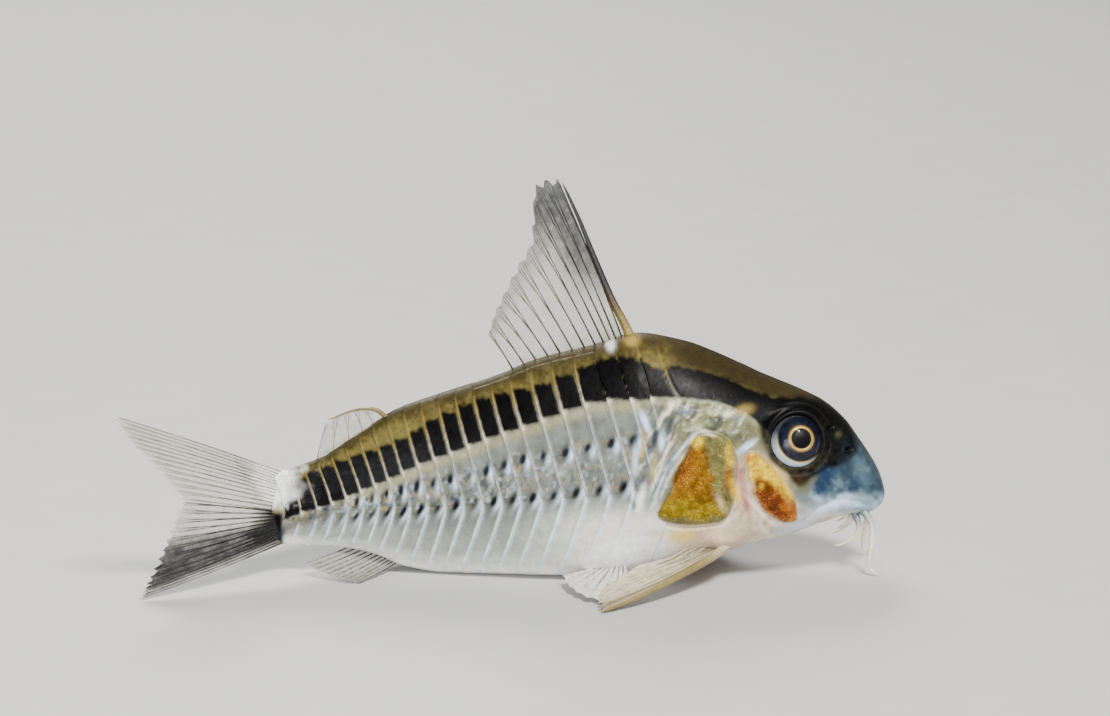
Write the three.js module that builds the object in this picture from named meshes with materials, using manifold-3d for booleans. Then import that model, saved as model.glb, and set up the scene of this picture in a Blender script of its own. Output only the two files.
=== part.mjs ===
// Corydoras catfish, life size, lying on its belly, fins, tail and barbels.
// Millimetres, +Z up, head towards +X, right side towards -Y, floor at Z = 0.
// The origin is on the floor, in the middle of the flat that the belly rests on.
import * as THREE from "three";
import { mergeVertices } from "three/addons/utils/BufferGeometryUtils.js";
import Module from "manifold-3d";

const wasm = await Module();
wasm.setup();

// Driving dimensions
const STANDARD_LENGTH = 51.9; // snout to the end of the tail stalk, along the bent body
const EYE_RADIUS = 1.95;
const FIN_THICKNESS = 0.56;
const BARBEL_RADIUS = 0.27;
const GAP = 0.3; // between neighbouring pieces
const GILL_COVER_THICKNESS = 0.9;
const SNOUT_AHEAD = 33.3; // of the origin

// The tail swings to the fish's right: a tight arc in the body, then a wide one in the tail fin.
const BEND_START = 36.4;
const BODY_BEND_RADIUS = 37.4;
const FIN_BEND_RADIUS = 70;

// Where the body is parted, behind the snout
const HEAD_END = 20.2;
const TRUNK_FRONT_END = 28;
const TRUNK_MIDDLE_END = 36;
const TRUNK_REAR_END = 44;

// Each outline is a list of [distance behind the snout, value]
const BACK_HEIGHT = [
  [0, 6.4], [0.15, 7.35], [0.4, 8.15], [1.2, 9.7], [2.2, 11.2], [3.4, 12.8], [5.3, 14.4],
  [7.1, 15.3], [10.4, 16.7], [13.8, 18.4], [17.2, 19.7], [20.7, 20.4], [24.1, 19.5],
  [29.2, 18.2], [32.6, 16.8], [37.6, 15.1], [41, 13.9], [44.4, 11.8], [47.8, 9.9], [51.9, 9.1],
];
const BELLY_HEIGHT = [
  [0, 6.4], [0.15, 5.75], [0.5, 5.35], [2.4, 5.05], [5.4, 4.2], [8.8, 3.0], [12.2, 2.4], [15.6, 1.4],
  [18.5, 0.4], [21, -0.2], [24, -0.4], [37, -0.4], [40.4, 0.1], [43, 1.2],
  [45.5, 1.9], [48, 2.3], [51.9, 2.7],
];
const HALF_WIDTH = [
  [0, 0], [0.5, 1.8], [1.4, 2.9], [3, 3.9], [5, 4.65], [7.1, 5.1], [10.5, 5.8],
  [14, 6.4], [18, 6.7], [22, 6.6], [28, 6], [34, 4.9], [40, 3.6], [45, 2.4],
  [49, 1.6], [51.9, 1.25],
];
const WIDEST_HEIGHT = [
  [0, 6.4], [3, 7.5], [7, 8.2], [14, 8.0], [22, 7.6], [30, 6.8], [40, 6.3],
  [46, 6.1], [51.9, 5.7],
];
const BACK_ROUNDNESS = [[0, 2], [6, 2.1], [14, 1.8], [30, 1.7], [51.9, 1.9]];
const BELLY_ROUNDNESS = [[0, 2.2], [8, 2.6], [20, 3.1], [38, 2.9], [51.9, 2.1]];

// A monotone cubic through the points, over the square root of the distance so that the snout is round
function outline(points) {
  const q = points.map(([d]) => Math.sqrt(d));
  const v = points.map(([, value]) => value);
  const slope = q.slice(1).map((at, i) => (v[i + 1] - v[i]) / (at - q[i]));
  const turn = v.map((_, i) => {
    if (i === 0 || i === v.length - 1) return slope[Math.min(i, slope.length - 1)];
    const [before, after] = [slope[i - 1], slope[i]];
    return before * after <= 0 ? 0 : (2 * before * after) / (before + after);
  });
  return (d) => {
    const at = Math.sqrt(Math.min(Math.max(d, 0), points.at(-1)[0]));
    const i = Math.max(0, Math.min(q.length - 2, q.findLastIndex((x) => x <= at)));
    const width = q[i + 1] - q[i];
    const t = (at - q[i]) / width;
    return (
      v[i] * (1 + 2 * t) * (1 - t) ** 2 +
      turn[i] * width * t * (1 - t) ** 2 +
      v[i + 1] * t * t * (3 - 2 * t) +
      turn[i + 1] * width * t * t * (t - 1)
    );
  };
}

const back = outline(BACK_HEIGHT);
const belly = outline(BELLY_HEIGHT);
const halfWidth = outline(HALF_WIDTH);
const widest = outline(WIDEST_HEIGHT);
const backRoundness = outline(BACK_ROUNDNESS);
const bellyRoundness = outline(BELLY_ROUNDNESS);

// The place in the bent fish of a distance behind the snout, a reach to the left and a height
function place(d, side, z) {
  const bodyTurn = (STANDARD_LENGTH - BEND_START) / BODY_BEND_RADIUS;
  let [x, y, turn] = [-d, 0, 0];
  if (d > BEND_START) {
    turn = Math.min(d - BEND_START, STANDARD_LENGTH - BEND_START) / BODY_BEND_RADIUS;
    x = -BEND_START - BODY_BEND_RADIUS * Math.sin(turn);
    y = -BODY_BEND_RADIUS * (1 - Math.cos(turn));
  }
  if (d > STANDARD_LENGTH) {
    turn = bodyTurn + (d - STANDARD_LENGTH) / FIN_BEND_RADIUS;
    x -= FIN_BEND_RADIUS * (Math.sin(turn) - Math.sin(bodyTurn));
    y -= FIN_BEND_RADIUS * (Math.cos(bodyTurn) - Math.cos(turn));
  }
  return new THREE.Vector3(SNOUT_AHEAD + x - side * Math.sin(turn), y + side * Math.cos(turn), z);
}

// A point of the skin: angle 0 is the left side and a quarter turn is the back. Grow moves it outwards.
function skin(d, angle, grow = 0, share = 1) {
  const [c, s] = [Math.cos(angle), Math.sin(angle)];
  const power = 2 / (s > 0 ? backRoundness(d) : bellyRoundness(d));
  const reach = s > 0 ? back(d) + grow - widest(d) : widest(d) - belly(d) + grow;
  const side = Math.sign(c) * Math.abs(c) ** power * Math.max(halfWidth(d) + grow, 0.01);
  const up = Math.sign(s) * Math.abs(s) ** power * Math.max(reach, 0.01);
  return place(d, side * share, widest(d) + up * share);
}

// Moves every vertex of a geometry, and keeps only its places, merged, so that it closes.
function reshape(geometry, move) {
  const bare = geometry.clone();
  bare.deleteAttribute("normal");
  bare.deleteAttribute("uv");
  const at = bare.getAttribute("position");
  const point = new THREE.Vector3();
  for (let i = 0; i < at.count; i++) {
    point.fromBufferAttribute(at, i);
    const moved = move(point);
    at.setXYZ(i, moved.x, moved.y, moved.z);
  }
  return mergeVertices(bare, 1e-4);
}

function solid(geometry) {
  const vertProperties = geometry.attributes.position.array;
  const triVerts = new Uint32Array(geometry.index.array);
  const made = new wasm.Manifold(new wasm.Mesh({ numProp: 3, vertProperties, triVerts }));
  if (made.volume() >= 0) return made;
  // a moving rule that mirrors the shape turned its faces inwards, so they are turned back
  for (let i = 0; i < triVerts.length; i += 3) {
    [triVerts[i + 1], triVerts[i + 2]] = [triVerts[i + 2], triVerts[i + 1]];
  }
  return new wasm.Manifold(new wasm.Mesh({ numProp: 3, vertProperties, triVerts }));
}

// A length of the body between two distances behind the snout.
function bodyLength(from, to, rings, sides, grow = 0) {
  const tube = new THREE.CylinderGeometry(1, 1, 1, sides, rings);
  return solid(
    reshape(tube, (p) => {
      const t = 0.5 - p.y;
      // near the snout the rings crowd together, as the square root of the distance does
      const d = (Math.sqrt(from) + (Math.sqrt(to) - Math.sqrt(from)) * t) ** 2;
      const onAxis = Math.hypot(p.x, p.z) < 1e-6;
      return skin(d, Math.atan2(p.z, p.x), grow, onAxis ? 0 : 1);
    }),
  );
}

// A round rod that tapers along a curve of places.
function taperedRod(route, radiusAt, steps, sides = 8) {
  const curve = new THREE.CatmullRomCurve3(route);
  const rod = new THREE.CylinderGeometry(1, 1, 1, sides, steps);
  return solid(
    reshape(rod, (p) => {
      const t = 0.5 - p.y;
      const tangent = curve.getTangent(t);
      const sideways = new THREE.Vector3(0, 1, 0).cross(tangent);
      if (sideways.length() < 0.2) sideways.set(1, 0, 0).cross(tangent);
      sideways.normalize();
      const upright = tangent.clone().cross(sideways);
      return curve
        .getPoint(t)
        .addScaledVector(sideways, p.x * radiusAt(t))
        .addScaledVector(upright, p.z * radiusAt(t));
    }),
  );
}

// A fin plate: roots and tips are curves across the rays, and each ray runs straight from one to the other.
// Between the rays the edge is notched. Bow swells the middle of the plate along the given direction.
function finPlate({ roots, tips, rays, steps = 5, notch = 0.05, bow = new THREE.Vector3() }) {
  const rootCurve = new THREE.CatmullRomCurve3(roots);
  const tipCurve = new THREE.CatmullRomCurve3(tips);
  const at = (u, v) => {
    const edge = 1 - notch * Math.sin(Math.PI * u * (rays - 1)) ** 2;
    return rootCurve
      .getPoint(u)
      .lerp(tipCurve.getPoint(u), v * edge)
      .addScaledVector(bow, Math.sin(Math.PI * u) * v);
  };
  const plate = new THREE.BoxGeometry(1, 1, 1, (rays - 1) * 2, steps, 1);
  const step = 0.01; // for the plate's own normal
  return solid(
    reshape(plate, (p) => {
      const [u, v] = [p.x + 0.5, p.y + 0.5];
      const across = at(Math.min(u + step, 1), v).sub(at(Math.max(u - step, 0), v));
      const along = at(u, 1).sub(at(u, 0));
      const normal = across.cross(along).normalize();
      return at(u, v).addScaledVector(normal, p.z * FIN_THICKNESS);
    }),
  );
}

// Places given in body coordinates, [distance behind the snout, side, height]. Hand is -1 for the right.
const places = (list, hand = 1) => list.map(([d, side, z]) => place(d, side * hand, z));

// Whatever reaches under the floor is cut level, which leaves the flats that the fish rests on.
function floorCut(made) {
  const [wide, deep] = [200, 20];
  const slab = new THREE.BoxGeometry(wide, wide, deep);
  return made.subtract(solid(reshape(slab, (p) => p.clone().setZ(p.z - deep / 2))));
}

function meshOf(made, name, colour, roughness, metalness = 0) {
  const { numProp, vertProperties, triVerts } = made.getMesh();
  const flat = new Float32Array((vertProperties.length / numProp) * 3);
  for (let i = 0; i < flat.length / 3; i++) {
    flat.set(vertProperties.subarray(i * numProp, i * numProp + 3), i * 3);
  }
  const geometry = new THREE.BufferGeometry();
  geometry.setAttribute("position", new THREE.BufferAttribute(flat, 3));
  geometry.setIndex(new THREE.BufferAttribute(new Uint32Array(triVerts), 1));
  geometry.computeVertexNormals();
  const material = new THREE.MeshStandardMaterial({ color: colour, roughness, metalness });
  const mesh = new THREE.Mesh(geometry, material);
  mesh.name = name;
  return mesh;
}

const fish = new THREE.Group();
const add = (...piece) => fish.add(meshOf(...piece));
const SIDES = { right: -1, left: 1 };

// The fins and barbels stop this far from the skin.
const clearance = bodyLength(0, STANDARD_LENGTH + 0.2, 30, 24, GAP);

// Eyes
const EYE_PLACE = { d: 7.4, side: 3.3, z: 12 };
function eyeball(hand, radius) {
  const centre = place(EYE_PLACE.d, EYE_PLACE.side * hand, EYE_PLACE.z);
  return solid(reshape(new THREE.SphereGeometry(radius, 16, 10), (p) => p.clone().add(centre)));
}

// Gill covers: rounded plates let into the head, outlined as [distance behind the snout, height]
const GILL_COVER_CENTRE = [15.8, 8.2];
const GILL_COVER_OUTLINE = [
  [13, 11.2], [15.7, 12.2], [18.2, 9.6], [19.3, 6.2], [16.6, 5], [13.6, 5.1], [12.4, 7.8],
];
function gillCoverRegion(hand, grow) {
  const centre = new THREE.Vector2(...GILL_COVER_CENTRE);
  const edge = GILL_COVER_OUTLINE.map(([d, z]) => {
    const from = new THREE.Vector2(d, z).sub(centre);
    return from.setLength(from.length() + grow).add(centre);
  });
  const rounded = new THREE.Shape(new THREE.SplineCurve([...edge, edge[0]]).getPoints(21).slice(0, -1));
  const prism = new THREE.ExtrudeGeometry(rounded, { depth: 8, bevelEnabled: false, steps: 1 });
  return solid(reshape(prism, (p) => new THREE.Vector3(SNOUT_AHEAD - p.x, (p.z + 2) * hand, p.y)));
}

function addHead() {
  const inner = bodyLength(0, 24, 12, 20, -GILL_COVER_THICKNESS);
  const deeper = bodyLength(0, 24, 12, 20, -GILL_COVER_THICKNESS - GAP);
  const whole = floorCut(bodyLength(0, HEAD_END, 16, 28));
  let head = whole;
  for (const [name, hand] of Object.entries(SIDES)) {
    head = head.subtract(gillCoverRegion(hand, GAP).subtract(deeper));
    head = head.subtract(eyeball(hand, EYE_RADIUS + GAP));
    const cover = whole.intersect(gillCoverRegion(hand, 0)).subtract(inner);
    add(cover, "gill_cover_" + name, 0xb98a3c, 0.35, 0.4);
    add(eyeball(hand, EYE_RADIUS), "eye_" + name, 0x0c0c12, 0.1);
  }
  add(head, "head", 0x8c7650, 0.45);
}

function addTrunk() {
  const lengths = [
    ["trunk_front", HEAD_END, TRUNK_FRONT_END],
    ["trunk_middle", TRUNK_FRONT_END, TRUNK_MIDDLE_END],
    ["trunk_rear", TRUNK_MIDDLE_END, TRUNK_REAR_END],
    ["tail_stalk", TRUNK_REAR_END, STANDARD_LENGTH],
  ];
  for (const [name, from, to] of lengths) {
    add(floorCut(bodyLength(from + GAP, to, 5, 28)), name, 0xcfcdbb, 0.4);
  }
}

// Lips: a low fleshy ring under the snout, and three barbels on each side of it
const LIPS = { d: 2.0, z: 5.1, length: 1.3, width: 2.0, depth: 0.75 };
const RICTAL_OUTER = [
  [1.7, 2, 5.2], [1.25, 2.6, 4.4], [1.3, 2.85, 2.8], [1.45, 2.95, 1.3], [1.3, 3, 0.55], [0.5, 3.2, 0.15],
];
const RICTAL_INNER = [[2.4, 1.9, 4.8], [2.3, 2.3, 4], [2.7, 2.3, 3.2], [3.5, 2.1, 2.6], [4.3, 1.8, 2.3]];
const MENTAL = [[2.9, 0.8, 4.6], [3.3, 0.95, 4], [4, 1.05, 3.6]];

function addMouth() {
  const reachesIn = bodyLength(0, 8, 12, 20, GAP);
  const ball = new THREE.SphereGeometry(1, 16, 8);
  const lips = (grow) =>
    solid(
      reshape(ball, ({ x, y, z }) =>
        place(LIPS.d + x * (LIPS.length + grow), y * (LIPS.width + grow), LIPS.z + z * (LIPS.depth + grow)),
      ),
    );
  add(lips(0).subtract(reachesIn), "lips", 0xb9b4a8, 0.5);
  const barbels = { rictal_outer: RICTAL_OUTER, rictal_inner: RICTAL_INNER, mental: MENTAL };
  for (const [side, hand] of Object.entries(SIDES)) {
    for (const [name, route] of Object.entries(barbels)) {
      const rod = taperedRod(places(route, hand), (t) => BARBEL_RADIUS * (1.25 - 0.25 * t), 8, 6);
      const cut = floorCut(rod.subtract(reachesIn).subtract(lips(GAP)));
      add(cut, "barbel_" + name + "_" + side, 0xd8d0bf, 0.5);
    }
  }
}

// Dorsal fin: a stout spine in front, then a tall sail of rays
const DORSAL_SPINE = [
  [21.4, 0, 19.6], [23.1, 0, 23.2], [24.5, 0, 26.6], [25.8, 0, 29.9], [27.2, 0, 32.9],
];
const DORSAL_ROOTS = [[22.1, 0, 19.6], [24, 0, 18.6], [27.5, 0, 17.9], [31.2, 0, 16.7]];
const DORSAL_TIPS = [
  [27.8, 0, 33.2], [29.7, 0, 32.5], [29.8, 0, 28.4], [31.2, 0, 25.4], [32.6, 0, 22.6], [33.4, 0, 20.2],
];

function addDorsalFin() {
  const spine = (grow) => taperedRod(places(DORSAL_SPINE), (t) => 0.62 - 0.34 * t + grow, 10);
  add(spine(0).subtract(clearance), "dorsal_spine", 0x6d5a33, 0.45);
  const plate = finPlate({ roots: places(DORSAL_ROOTS), tips: places(DORSAL_TIPS), rays: 9 });
  add(plate.subtract(clearance).subtract(spine(GAP)), "dorsal_fin", 0xa9a48a, 0.4);
}

// Adipose fin: a short curved spine with a small web behind it
const ADIPOSE_SPINE = [[41.6, 0, 12.8], [42.8, 0, 13.8], [44.6, 0, 13.9], [46.9, 0, 13.1]];
function addAdiposeFin() {
  const spine = (grow) => taperedRod(places(ADIPOSE_SPINE), (t) => 0.36 - 0.08 * t + grow, 8);
  add(spine(0).subtract(clearance), "adipose_spine", 0xb6a25f, 0.45);
  const web = finPlate({
    roots: places([[42.2, 0, 12.6], [44.5, 0, 11.2], [47.9, 0, 9.5]]),
    tips: places([[43, 0, 13.9], [44.9, 0, 13.8], [47.2, 0, 12.9]]),
    rays: 5,
    steps: 3,
    notch: 0,
  });
  add(web.subtract(clearance).subtract(spine(GAP)), "adipose_fin", 0xa9a48a, 0.4);
}

// Paired fins: the pectoral spine slants out and down to the floor, and the pelvic fin is a short fan
const PECTORAL_SPINE = [
  [13.6, 5.3, 3.1], [15.2, 7.2, 2.6], [18.6, 10.3, 1.6], [21.6, 12.4, 0.7], [24.1, 13.9, 0.1],
];
const PECTORAL_ROOTS = [[14.3, 5.6, 3], [15.1, 5.6, 2.9], [16.2, 5.5, 2.9]];
const PECTORAL_TIPS = [[23.8, 13.2, 0.25], [23.9, 11.2, 0.55], [22.6, 9.1, 1], [20.7, 7.6, 1.6]];
const PELVIC_ROOTS = [[22.3, 4.2, 1.2], [23, 4.1, 1], [23.8, 3.8, 0.9]];
const PELVIC_TIPS = [[22.3, 9.6, 0.05], [24.4, 9.4, 0.05], [26.2, 8, 0.05], [27.1, 5.9, 0.2]];

function addPairedFins(side, hand) {
  const spine = (grow) => taperedRod(places(PECTORAL_SPINE, hand), (t) => 0.55 - 0.24 * t + grow, 12);
  add(floorCut(spine(0).subtract(clearance)), "pectoral_spine_" + side, 0xb3a67c, 0.45);
  const fan = finPlate({
    roots: places(PECTORAL_ROOTS, hand),
    tips: places(PECTORAL_TIPS, hand),
    rays: 8,
    bow: new THREE.Vector3(0, 0, 0.25),
  });
  add(floorCut(fan.subtract(clearance).subtract(spine(GAP))), "pectoral_fin_" + side, 0xc9c4ae, 0.4);
  const pelvic = finPlate({
    roots: places(PELVIC_ROOTS, hand),
    tips: places(PELVIC_TIPS, hand),
    rays: 6,
    bow: new THREE.Vector3(0, 0, 0.3),
  });
  add(floorCut(pelvic.subtract(clearance)), "pelvic_fin_" + side, 0xdad8cc, 0.4);
}

function addAnalFin() {
  const plate = finPlate({
    roots: places([[40.7, 0, 0.9], [42.5, 0, 1.4], [44.9, 0, 2.3]]),
    tips: places([[45.4, -4.6, 0.15], [46.7, -4, 0.2], [48.3, -2.6, 0.5], [49.6, -1.2, 1.2]]),
    rays: 7,
  });
  add(floorCut(plate.subtract(clearance)), "anal_fin", 0xc4c2b0, 0.4);
}

// Tail fin: two lobes that part at the middle ray. The lower one lies on the floor.
const TAIL_ROOT = STANDARD_LENGTH - 0.4; // the fin is then cut back to clear the stalk
function addTailFin() {
  const upper = finPlate({
    roots: places([[TAIL_ROOT, 0, 9.1], [TAIL_ROOT, 0, 7.4], [TAIL_ROOT, 0, 5.75]]),
    tips: places([[66.2, 0, 15.6], [65, 0, 13.6], [62.4, 0, 10.8], [59.9, 0, 7.8]]),
    rays: 8,
  });
  const lower = finPlate({
    roots: places([[TAIL_ROOT, 0, 5.35], [TAIL_ROOT, 0, 3.8], [TAIL_ROOT, 0, 2.25]]),
    tips: places([[59.9, 0, 7.4], [61.6, -0.3, 4.4], [63.6, -0.9, 1.6], [64.9, -1.2, -0.2]]),
    rays: 8,
  });
  add(upper.subtract(clearance), "tail_fin_upper", 0xb5b09a, 0.4);
  add(floorCut(lower.subtract(clearance)), "tail_fin_lower", 0x77725f, 0.4);
}

addHead();
addTrunk();
addMouth();
addDorsalFin();
addAdiposeFin();
for (const [side, hand] of Object.entries(SIDES)) addPairedFins(side, hand);
addAnalFin();
addTailFin();

export default fish;
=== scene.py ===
import math

import bpy
import numpy as np
from mathutils import Matrix, Vector


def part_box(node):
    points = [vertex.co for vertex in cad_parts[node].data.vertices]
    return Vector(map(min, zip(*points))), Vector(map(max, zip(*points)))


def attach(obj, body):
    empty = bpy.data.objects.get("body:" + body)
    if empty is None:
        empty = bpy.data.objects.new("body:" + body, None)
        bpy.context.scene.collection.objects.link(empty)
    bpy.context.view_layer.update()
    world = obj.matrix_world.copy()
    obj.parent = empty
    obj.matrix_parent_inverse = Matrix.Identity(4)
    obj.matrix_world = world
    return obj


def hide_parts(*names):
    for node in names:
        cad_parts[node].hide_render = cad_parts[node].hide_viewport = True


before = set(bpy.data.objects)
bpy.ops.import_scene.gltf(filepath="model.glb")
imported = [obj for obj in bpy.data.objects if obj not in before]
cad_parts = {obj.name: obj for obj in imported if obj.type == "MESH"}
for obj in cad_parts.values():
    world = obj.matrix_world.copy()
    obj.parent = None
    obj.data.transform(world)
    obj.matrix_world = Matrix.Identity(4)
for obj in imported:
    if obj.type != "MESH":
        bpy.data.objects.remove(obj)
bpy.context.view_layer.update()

# Corydoras catfish. Lengths are in mm until a mesh is made, +X is the snout, -Y its right side, +Z up.
# d is the distance behind the snout along the bent body, v runs from the belly (0) up to the back (1).
mm = 0.001
sides = {"right": -1.0, "left": 1.0}
print("frame loaded")

# how the photograph was taken, so that the place of a marking in it can be found again on the fish
photo = {
    "size": (1110, 716),
    "distance": 300.0,
    "elevation": 13.0,
    "pixelsPerMm": 11.8,
    "originAt": (490.0, 566.0),
    "sensorWidth": 36.0,
}
focalPixels = photo["pixelsPerMm"] * photo["distance"]
tilt = math.radians(photo["elevation"])
viewForward = np.array([0, math.cos(tilt), -math.sin(tilt)])
viewRight = np.array([1.0, 0, 0])
viewUp = np.cross(viewRight, viewForward)
pictureMiddle = np.array(photo["size"]) / 2
aimOff = (np.array(photo["originAt"]) - pictureMiddle) * photo["distance"] / focalPixels
cameraPlace = -photo["distance"] * viewForward - viewRight * aimOff[0] + viewUp * aimOff[1]


def toPhoto(points):
    ray = points - cameraPlace
    depth = ray @ viewForward
    px = pictureMiddle[0] + focalPixels * (ray @ viewRight) / depth
    py = pictureMiddle[1] - focalPixels * (ray @ viewUp) / depth
    return px, py


def setCamera():
    data = bpy.data.cameras.new("photoCamera")
    data.sensor_width = photo["sensorWidth"]
    data.lens = focalPixels / photo["size"][0] * photo["sensorWidth"]
    data.clip_start = 0.02
    camera = bpy.data.objects.new("photoCamera", data)
    bpy.context.scene.collection.objects.link(camera)
    axes = Matrix((viewRight, viewUp, -viewForward)).transposed()
    camera.matrix_world = Matrix.Translation(Vector(cameraPlace * mm)) @ axes.to_4x4()
    bpy.context.scene.camera = camera


setCamera()
print("camera set")

# the body: each outline is a list of (d, value)
body = {
    "length": 51.9,
    "bendStart": 36.4, "bendRadius": 37.4, "finBendRadius": 70.0,
    "back": [(0, 6.4), (0.15, 7.3), (0.4, 8.1), (1.2, 9.65), (2.2, 11.15), (3.4, 12.8), (5.3, 14.4),
             (7.1, 15.3), (10.4, 16.7), (13.8, 18.4), (17.2, 19.7), (20.7, 20.4), (24.1, 19.5),
             (29.2, 18.2), (32.6, 16.8), (37.6, 15.1), (41, 13.9), (44.4, 11.8), (47.8, 9.9), (51.9, 9.1)],
    "belly": [(0, 6.4), (0.15, 5.8), (0.5, 5.4), (1.2, 5.2), (2.4, 5.05), (5.4, 4.2), (8.8, 3.0),
              (12.2, 2.4), (15.6, 1.4), (18.5, 0.4), (21, -0.2), (24, -0.4), (37, -0.4), (40.4, 0.1),
              (43, 1.2), (45.5, 1.9), (48, 2.3), (51.9, 2.7)],
    "halfWidth": [(0, 0), (0.5, 1.8), (1.4, 2.9), (3, 3.9), (5, 4.65), (7.1, 5.1), (10.5, 5.8), (14, 6.4),
                  (18, 6.7), (22, 6.6), (28, 6), (34, 4.9), (40, 3.6), (45, 2.4), (49, 1.6), (51.9, 1.25)],
    "widestAt": [(0, 6.4), (3, 7.5), (7, 8.2), (14, 8.0), (22, 7.6), (30, 6.8), (40, 6.3), (46, 6.1),
                 (51.9, 5.7)],
    "backRoundness": [(0, 2), (6, 2.1), (14, 1.8), (30, 1.7), (51.9, 1.9)],
    "bellyRoundness": [(0, 2.2), (8, 2.6), (20, 3.1), (38, 2.9), (51.9, 2.1)],
    "headDepth": 0.04, "coatDepth": 0.15,   # how far the skin lies inside the solids, bare and under plates
    "coatFrom": (16, 20),
    "tailTaper": 4.0, "tailThinning": 0.75,     # the stalk thins into the tail fin over this length
    "aboveFloor": 0.04,
    "headEnd": 20.5, "reliefEnd": 23.5,
}
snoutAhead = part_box("head")[1].x / mm


def curveThrough(points, power=0.5):
    # a smooth curve that never overshoots its points
    at = np.array([p[0] for p in points], float) ** power
    value = np.array([p[1] for p in points], float)
    slope = np.diff(value) / np.diff(at)
    turn = np.concatenate([slope[:1], np.zeros(len(slope) - 1), slope[-1:]])
    before, after = slope[:-1], slope[1:]
    same = before * after > 0
    turn[1:-1][same] = (2 * before * after)[same] / (before + after)[same]

    def valueAt(x):
        q = np.clip(x, points[0][0], points[-1][0]) ** power
        i = np.clip(np.searchsorted(at, q, side="right") - 1, 0, len(at) - 2)
        width = at[i + 1] - at[i]
        t = (q - at[i]) / width
        return (value[i] * (1 + 2 * t) * (1 - t) ** 2 + turn[i] * width * t * (1 - t) ** 2
                + value[i + 1] * t * t * (3 - 2 * t) + turn[i + 1] * width * t * t * (t - 1))
    return valueAt


def lineThrough(points, count, closed=False):
    # a smooth line through points of any dimension
    p = np.array(points, float)
    if closed:
        p = np.vstack([p[-1], p, p[:2]])
    else:
        p = np.vstack([2 * p[0] - p[1], p, 2 * p[-1] - p[-2]])
    t = np.linspace(0, 1, count, endpoint=False)[:, None]
    parts = []
    for a, b, c, e in zip(p[:-3], p[1:-2], p[2:-1], p[3:]):
        parts.append(0.5 * (2 * b + (c - a) * t + (2 * a - 5 * b + 4 * c - e) * t ** 2
                            + (3 * b - a - 3 * c + e) * t ** 3))
    if not closed:
        parts.append(p[-2:-1])
    return np.vstack(parts)


def smoothStep(low, high, x):
    t = np.clip((x - low) / (high - low), 0, 1)
    return t * t * (3 - 2 * t)


def bump(x, centre, width):
    return np.exp(-((x - centre) / width) ** 2)


def mottle(x, y, size, seed):
    # smooth patchy noise from -1 to 1, which repeats after that many cells
    repeat, offset = 64, 1000
    grid = np.random.default_rng(seed).uniform(-1, 1, (repeat, repeat))
    u, v = np.asarray(x) / size + offset, np.asarray(y) / size + offset
    i, j = np.floor(u).astype(int), np.floor(v).astype(int)
    a, b = smoothStep(0, 1, u - i), smoothStep(0, 1, v - j)
    corner = [grid[(i + p) % repeat, (j + q) % repeat] for p in (0, 1) for q in (0, 1)]
    return (corner[0] * (1 - b) + corner[1] * b) * (1 - a) + (corner[2] * (1 - b) + corner[3] * b) * a


def unit(vectors):
    return vectors / np.maximum(np.linalg.norm(vectors, axis=-1, keepdims=True), 1e-9)


def place(d, side, z):
    # where a distance behind the snout, a reach to the left and a height lie in the bent fish
    d, side, z = np.broadcast_arrays(*(np.asarray(value, float) for value in (d, side, z)))
    bodyTurn = (body["length"] - body["bendStart"]) / body["bendRadius"]
    turn = np.clip((d - body["bendStart"]) / body["bendRadius"], 0, bodyTurn)
    x = -np.minimum(d, body["bendStart"]) - body["bendRadius"] * np.sin(turn)
    y = -body["bendRadius"] * (1 - np.cos(turn))
    finTurn = bodyTurn + np.maximum(d - body["length"], 0) / body["finBendRadius"]
    x = x - body["finBendRadius"] * (np.sin(finTurn) - math.sin(bodyTurn))
    y = y - body["finBendRadius"] * (math.cos(bodyTurn) - np.cos(finTurn))
    turn = turn + finTurn - bodyTurn
    return np.stack([snoutAhead + x - side * np.sin(turn), y + side * np.cos(turn), z], -1)


def routeThrough(route, hand, count):
    # a smooth line through a list of (d, side, height)
    return lineThrough([place(d, side * hand, z) for d, side, z in route], count)


# the skin's sections, as tables of reach and height over d and v
sectionD = np.concatenate([np.linspace(0, 2, 90) ** 2, np.arange(4.05, body["length"] + 0.02, 0.05)])
sectionV = np.linspace(0, 1, 301)


def makeSections():
    outline = {name: curveThrough(points)(sectionD)[:, None] for name, points in body.items()
               if isinstance(points, list)}
    angle = np.linspace(-math.pi / 2, math.pi / 2, 901)[None, :]
    cosine, sine = np.abs(np.cos(angle)), np.sin(angle)
    under = smoothStep(*body["coatFrom"], sectionD)[:, None]
    inset = body["headDepth"] + (body["coatDepth"] - body["headDepth"]) * under
    nearTail = smoothStep(body["length"] - body["tailTaper"], body["length"], sectionD)[:, None]
    width = np.maximum(outline["halfWidth"] * (1 - body["tailThinning"] * nearTail) - inset, 0.01)
    up = np.maximum(outline["back"] - inset - outline["widestAt"], 0.01)
    down = np.maximum(outline["widestAt"] - inset - outline["belly"], 0.01)
    power = np.where(sine > 0, 2 / outline["backRoundness"], 2 / outline["bellyRoundness"])
    side = cosine ** power * width
    z = outline["widestAt"] + np.sign(sine) * np.abs(sine) ** power * np.where(sine > 0, up, down)
    z = np.maximum(z, body["aboveFloor"])
    run = np.cumsum(np.hypot(np.diff(side, axis=1), np.diff(z, axis=1)), axis=1)
    run = np.hstack([np.zeros((len(sectionD), 1)), run])
    reaches = np.array([np.interp(sectionV * r[-1], r, s) for r, s in zip(run, side)])
    heights = np.array([np.interp(sectionV * r[-1], r, h) for r, h in zip(run, z)])
    return reaches, heights


sectionSide, sectionZ = makeSections()
backHeight = curveThrough(body["back"])
bellyHeight = curveThrough(body["belly"])


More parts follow.
